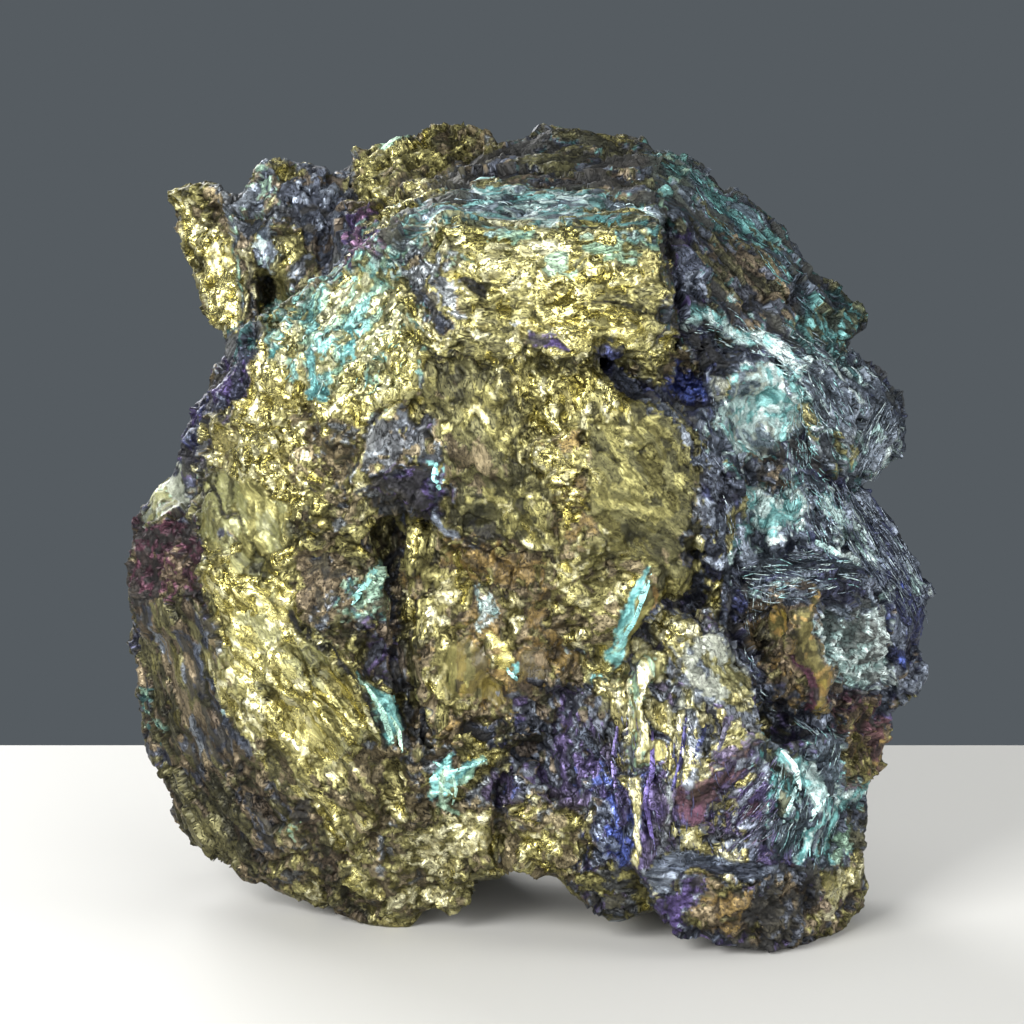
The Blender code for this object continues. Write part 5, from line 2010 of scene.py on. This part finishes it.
@dataclass
class Rods:
    """Closed rods of one piece: where they run, how thick they are and what they are of.

    paths has the (across, up) points of each rod, widths and heights its half width and half
    thickness, shares its mix of finishes, and lift how far its middle line stands off the stone.
    sides is how many points a section has, and rounds how often the height is evened along a rod.
    """

    paths: np.ndarray
    widths: np.ndarray
    heights: np.ndarray
    shares: np.ndarray
    lift: np.ndarray
    sides: int
    rounds: int

    def keep(self, kept: np.ndarray) -> None:
        """Drops all rods but these."""
        for name in ("paths", "widths", "heights", "shares", "lift"):
            setattr(self, name, getattr(self, name)[kept])


@dataclass
class Overgrowth:
    """What grows or lies on the broken surface: silky fibres and flat crystal blades."""

    face: FaceFrame
    heights: HeightField
    material: bpy.types.Material
    fibre_name: str = "silky_fibres"
    fibre_radius_mm: float = 0.036
    radius_spread: float = 0.25
    fibre_flatness: float = 0.8
    fibre_sink_mm: float = 0.02
    fibre_steps: int = 6
    fibre_sides: int = 3
    fibre_rounds: int = 1
    blade_steps: int = 16
    blade_sides: int = 6
    blade_rounds: int = 3
    blade_sink: float = 0.22
    # Rods that would climb more steeply than this are left out. The next is how far one may sink below
    # the stone when its height is evened, and the last keeps a run of no length from dividing by 0
    most_slope: float = 0.9
    most_dip_mm: float = 0.05
    least_run: float = 1e-6
    # The taper's sine starts and ends this share of half a turn in, and the tips dive this deep
    taper_start: float = 0.04
    tip_dive_mm: float = 0.06
    width_wobble: float = 0.10
    height_wobble: float = 0.16
    shade_swing: float = 0.45
    shade_size_mm: float = 0.35
    crest_range: tuple = (0.4, 0.6)
    hackle: float = 0.7
    grain_scale: float = 0.5
    seed: int = 97
    lattice: Lattice = field(default_factory=lambda: Lattice(41))

    def followed(self, rods: Rods) -> np.ndarray:
        """Follows the stone's height along each rod, and drops rods that leave it or climb too steeply.

        Args:
            rods: The rods, which are changed.

        Returns:
            One row of evened heights for each rod that is kept.
        """
        out = self.heights.at(rods.paths)
        reach = np.ptp(rods.paths, axis=1).max(axis=1)
        kept = np.isfinite(out).all(axis=1)
        kept[kept] = np.ptp(out[kept], axis=1) < self.most_slope * reach[kept]
        rods.keep(kept)
        out = out[kept]
        for _ in range(rods.rounds):
            ahead = np.concatenate((out[:, 1:], out[:, -1:]), axis=1)
            behind = np.concatenate((out[:, :1], out[:, :-1]), axis=1)
            out = np.maximum(0.25 * ahead + 0.5 * out + 0.25 * behind, out - self.most_dip_mm)
        return out

    def lay(self, name: str, rods: Rods, draws: np.random.Generator) -> None:
        """Builds closed rods along paths as one piece.

        A rod's section is a ring of points round the path, wide along the stone and flat out from
        it. It thins to both ends by the root of a sine.

        Args:
            name: The piece's name.
            rods: The rods.
            draws: The random numbers.
        """
        out = self.followed(rods)
        count, steps, _ = rods.paths.shape
        sides = rods.sides
        share = np.linspace(0.0, 1.0, steps)
        turned = self.taper_start + (1.0 - 2.0 * self.taper_start) * share
        taper = np.sqrt(np.clip(np.sin(np.pi * turned), 0.0, 1.0))
        out = out + rods.lift[:, None] - (1.0 - taper)[None, :] * self.tip_dive_mm
        places = self.face.behind(rods.paths.reshape(-1, 2), out.ravel()).reshape(count, steps, 3)
        along = unit(np.gradient(places, axis=1), self.least_run)
        side = unit(np.cross(along, np.array((0.0, 0.0, 1.0))), self.least_run)
        rise = np.cross(side, along)
        turn = np.arange(sides) * math.tau / sides + math.pi / 2.0
        wide, high = (
            half[:, None] * taper[None, :] * (1.0 + wobble * draws.normal(0.0, 1.0, (count, steps)))
            for half, wobble in ((rods.widths, self.width_wobble), (rods.heights, self.height_wobble))
        )
        ring = (
            places[:, :, None, :]
            + (wide[:, :, None] * np.cos(turn))[..., None] * side[:, :, None, :]
            + (high[:, :, None] * np.sin(turn))[..., None] * rise[:, :, None, :]
        ).reshape(-1, 3)
        points = self.face.to_stone(ring)
        points[:, 2] = np.maximum(points[:, 2], 0.0)
        around = np.arange(sides)
        ahead = (around + 1) % sides
        first = np.arange(steps - 1)[:, None] * sides
        quads = np.stack([first + step for step in (around, ahead, sides + ahead, sides + around)], axis=2)
        base = np.arange(count)[:, None] * steps * sides
        walls = (quads.reshape(1, -1) + base).ravel()
        caps = (np.concatenate((around[::-1], around + (steps - 1) * sides)) + base).ravel()
        sizes = np.concatenate((np.full(len(walls) // 4, 4), np.full(2 * count, sides)))
        mesh = mesh_from_faces(name, points, np.concatenate((walls, caps)), sizes)
        mesh.polygons.foreach_set("use_smooth", np.full(len(sizes), sides == self.fibre_sides))
        self.dress(mesh, rods, ring, draws)
        new_object(name, mesh, self.material)

    def dress(self, mesh: bpy.types.Mesh, rods: Rods, ring: np.ndarray, draws: np.random.Generator) -> None:
        """Stores one finish for each rod, with a shade that swings a little along it.

        Args:
            mesh: The mesh that gets the values.
            rods: The rods.
            ring: Their points in face millimetres, rod after rod.
            draws: The random numbers.
        """
        count = len(rods.paths)
        each = len(ring) // count
        picked = pick_tones(rods.shares, draws.random(count))
        low, spread = self.crest_range
        crest = low + spread * draws.random(count)
        colour = (blended(DEEP[picked], BRIGHT[picked], crest) + mean_colour(rods.shares, crest)) / 2.0
        shade = 1.0 + self.shade_swing * self.lattice.soft(ring, self.shade_size_mm, 1)
        write_values(
            mesh, tint=with_alpha(np.repeat(colour, each, axis=0) * shade),
            metal=np.repeat(METALLIC[picked], each), rough=np.repeat(ROUGHNESS[picked], each),
            hackle=np.full(len(ring), self.hackle), grain_place=ring * self.grain_scale,
        )

    def build(self) -> None:
        """Builds the fibres as one piece and each kind of blade as another."""
        draws = np.random.default_rng(self.seed)
        laid = [sheaf.paths(self.lattice, draws, self.fibre_steps) for sheaf in SHEAVES]
        each = [len(paths) for paths in laid]
        radius = self.fibre_radius_mm * np.exp(draws.normal(0.0, self.radius_spread, sum(each)))
        shares = np.repeat([sheaf.shares for sheaf in SHEAVES], each, axis=0)
        sunk = np.full(len(radius), -self.fibre_sink_mm)
        fibres = Rods(
            np.concatenate(laid), radius, radius * self.fibre_flatness, shares, sunk,
            self.fibre_sides, self.fibre_rounds,
        )
        self.lay(self.fibre_name, fibres, draws)
        for name, blades in BLADES.items():
            thickness = np.array([blade.thickness_mm for blade in blades])
            rods = Rods(
                np.stack([blade.points(self.blade_steps) for blade in blades]),
                np.array([blade.width_mm for blade in blades]) / 2.0, thickness / 2.0,
                np.array([blade.shares for blade in blades]), -self.blade_sink * thickness,
                self.blade_sides, self.blade_rounds,
            )
            self.lay(name, rods, draws)


@dataclass(frozen=True)
class SoftLight:
    """A square soft light: where it is and how large, in millimetres, and its power in watts."""

    name: str
    place_mm: tuple
    size_mm: float
    power: float


@dataclass(frozen=True)
class Studio:
    """A pale tabletop, soft lights and the camera straight in front of the leaning face."""

    face: FaceFrame
    lens_mm: float = 181.93
    clip_start_m: float = 0.01
    floor_name: str = "tabletop"
    floor_half_width_mm: float = 300.0
    floor_front_mm: float = -400.0
    floor_back_mm: float = 30.5
    floor_hex: str = "#b4b3af"
    floor_roughness: float = 0.6
    backdrop_hex: str = "#565c61"
    aim_mm: tuple = (0.0, 0.0, 21.0)
    lights: tuple = (
        SoftLight("key", (-190.0, -240.0, 190.0), 190.0, 2.15),
        SoftLight("front_fill", (150.0, -300.0, 110.0), 220.0, 0.7),
        SoftLight("low_front", (-60.0, -280.0, 25.0), 170.0, 0.5),
        SoftLight("top", (30.0, 40.0, 300.0), 200.0, 0.30),
        SoftLight("right_rim", (250.0, -60.0, 120.0), 140.0, 0.45),
        SoftLight("back_fill", (-150.0, 240.0, 150.0), 180.0, 1.1),
    )

    def floor(self) -> None:
        """A flat tabletop that ends behind the stone."""
        wide, front, back = self.floor_half_width_mm, self.floor_front_mm, self.floor_back_mm
        corners = np.array(((-wide, front, 0.0), (wide, front, 0.0), (wide, back, 0.0), (-wide, back, 0.0)))
        mesh = mesh_from_faces(self.floor_name, corners, np.arange(4), np.array((4,)))
        # Pale laminate: an even matt top that shows only the stone's soft shadow
        made = bpy.data.materials.new("matt_white_laminate")
        made.use_nodes = True
        shader = made.node_tree.nodes["Principled BSDF"]
        shader.inputs["Base Color"].default_value = (*linear_colour(self.floor_hex), 1.0)
        shader.inputs["Roughness"].default_value = self.floor_roughness
        mesh.materials.append(made)
        top = bpy.data.objects.new(self.floor_name, mesh)
        bpy.context.scene.collection.objects.link(top)

    def light(self, light: SoftLight) -> None:
        """Adds a soft light that looks at the middle of the stone.

        Args:
            light: The light.
        """
        data = bpy.data.lights.new(light.name, "AREA")
        data.size = light.size_mm * METRES_PER_MM
        data.energy = light.power
        lamp = bpy.data.objects.new(light.name, data)
        lamp.location = Vector(light.place_mm) * METRES_PER_MM
        aim = Vector(self.aim_mm) * METRES_PER_MM - lamp.location
        lamp.rotation_euler = aim.to_track_quat("-Z", "Y").to_euler()
        bpy.context.scene.collection.objects.link(lamp)

    def backdrop(self) -> None:
        """An even mid-grey surround."""
        world = bpy.data.worlds.new("grey_surround")
        world.use_nodes = True
        surround = world.node_tree.nodes["Background"]
        surround.inputs["Color"].default_value = (*linear_colour(self.backdrop_hex), 1.0)
        surround.inputs["Strength"].default_value = 1.0
        bpy.context.scene.world = world

    def camera(self) -> None:
        """The camera at the viewpoint of the face, looking straight at it."""
        across, up = self.face.view_axis_mm
        eye, aim = self.face.to_stone(np.array((
            (across, up, self.face.view_distance_mm), (across, up, 0.0),
        )))
        data = bpy.data.cameras.new("front_view")
        data.lens = self.lens_mm
        data.clip_start = self.clip_start_m
        camera = bpy.data.objects.new("front_view", data)
        camera.location = Vector(eye) * METRES_PER_MM
        camera.rotation_euler = Vector(eye - aim).to_track_quat("Z", "Y").to_euler()
        bpy.context.scene.collection.objects.link(camera)
        bpy.context.scene.camera = camera

    def build(self) -> None:
        """Sets up the tabletop, the lights, the surround and the camera."""
        self.floor()
        self.backdrop()
        for light in self.lights:
            self.light(light)
        self.camera()
        bpy.context.scene.view_settings.view_transform = "Standard"


def main() -> None:
    """Builds the stone's pieces and the studio, in order."""
    logging.basicConfig(level=logging.INFO, format="%(message)s")
    face = FaceFrame()
    ore = SulphideOre().material()
    tops = OreSkin(face, OreMap(face), ore).build()
    Overgrowth(face, HeightField(face, tops), ore).build()
    Studio(face).build()


if __name__ == "__main__":
    main()
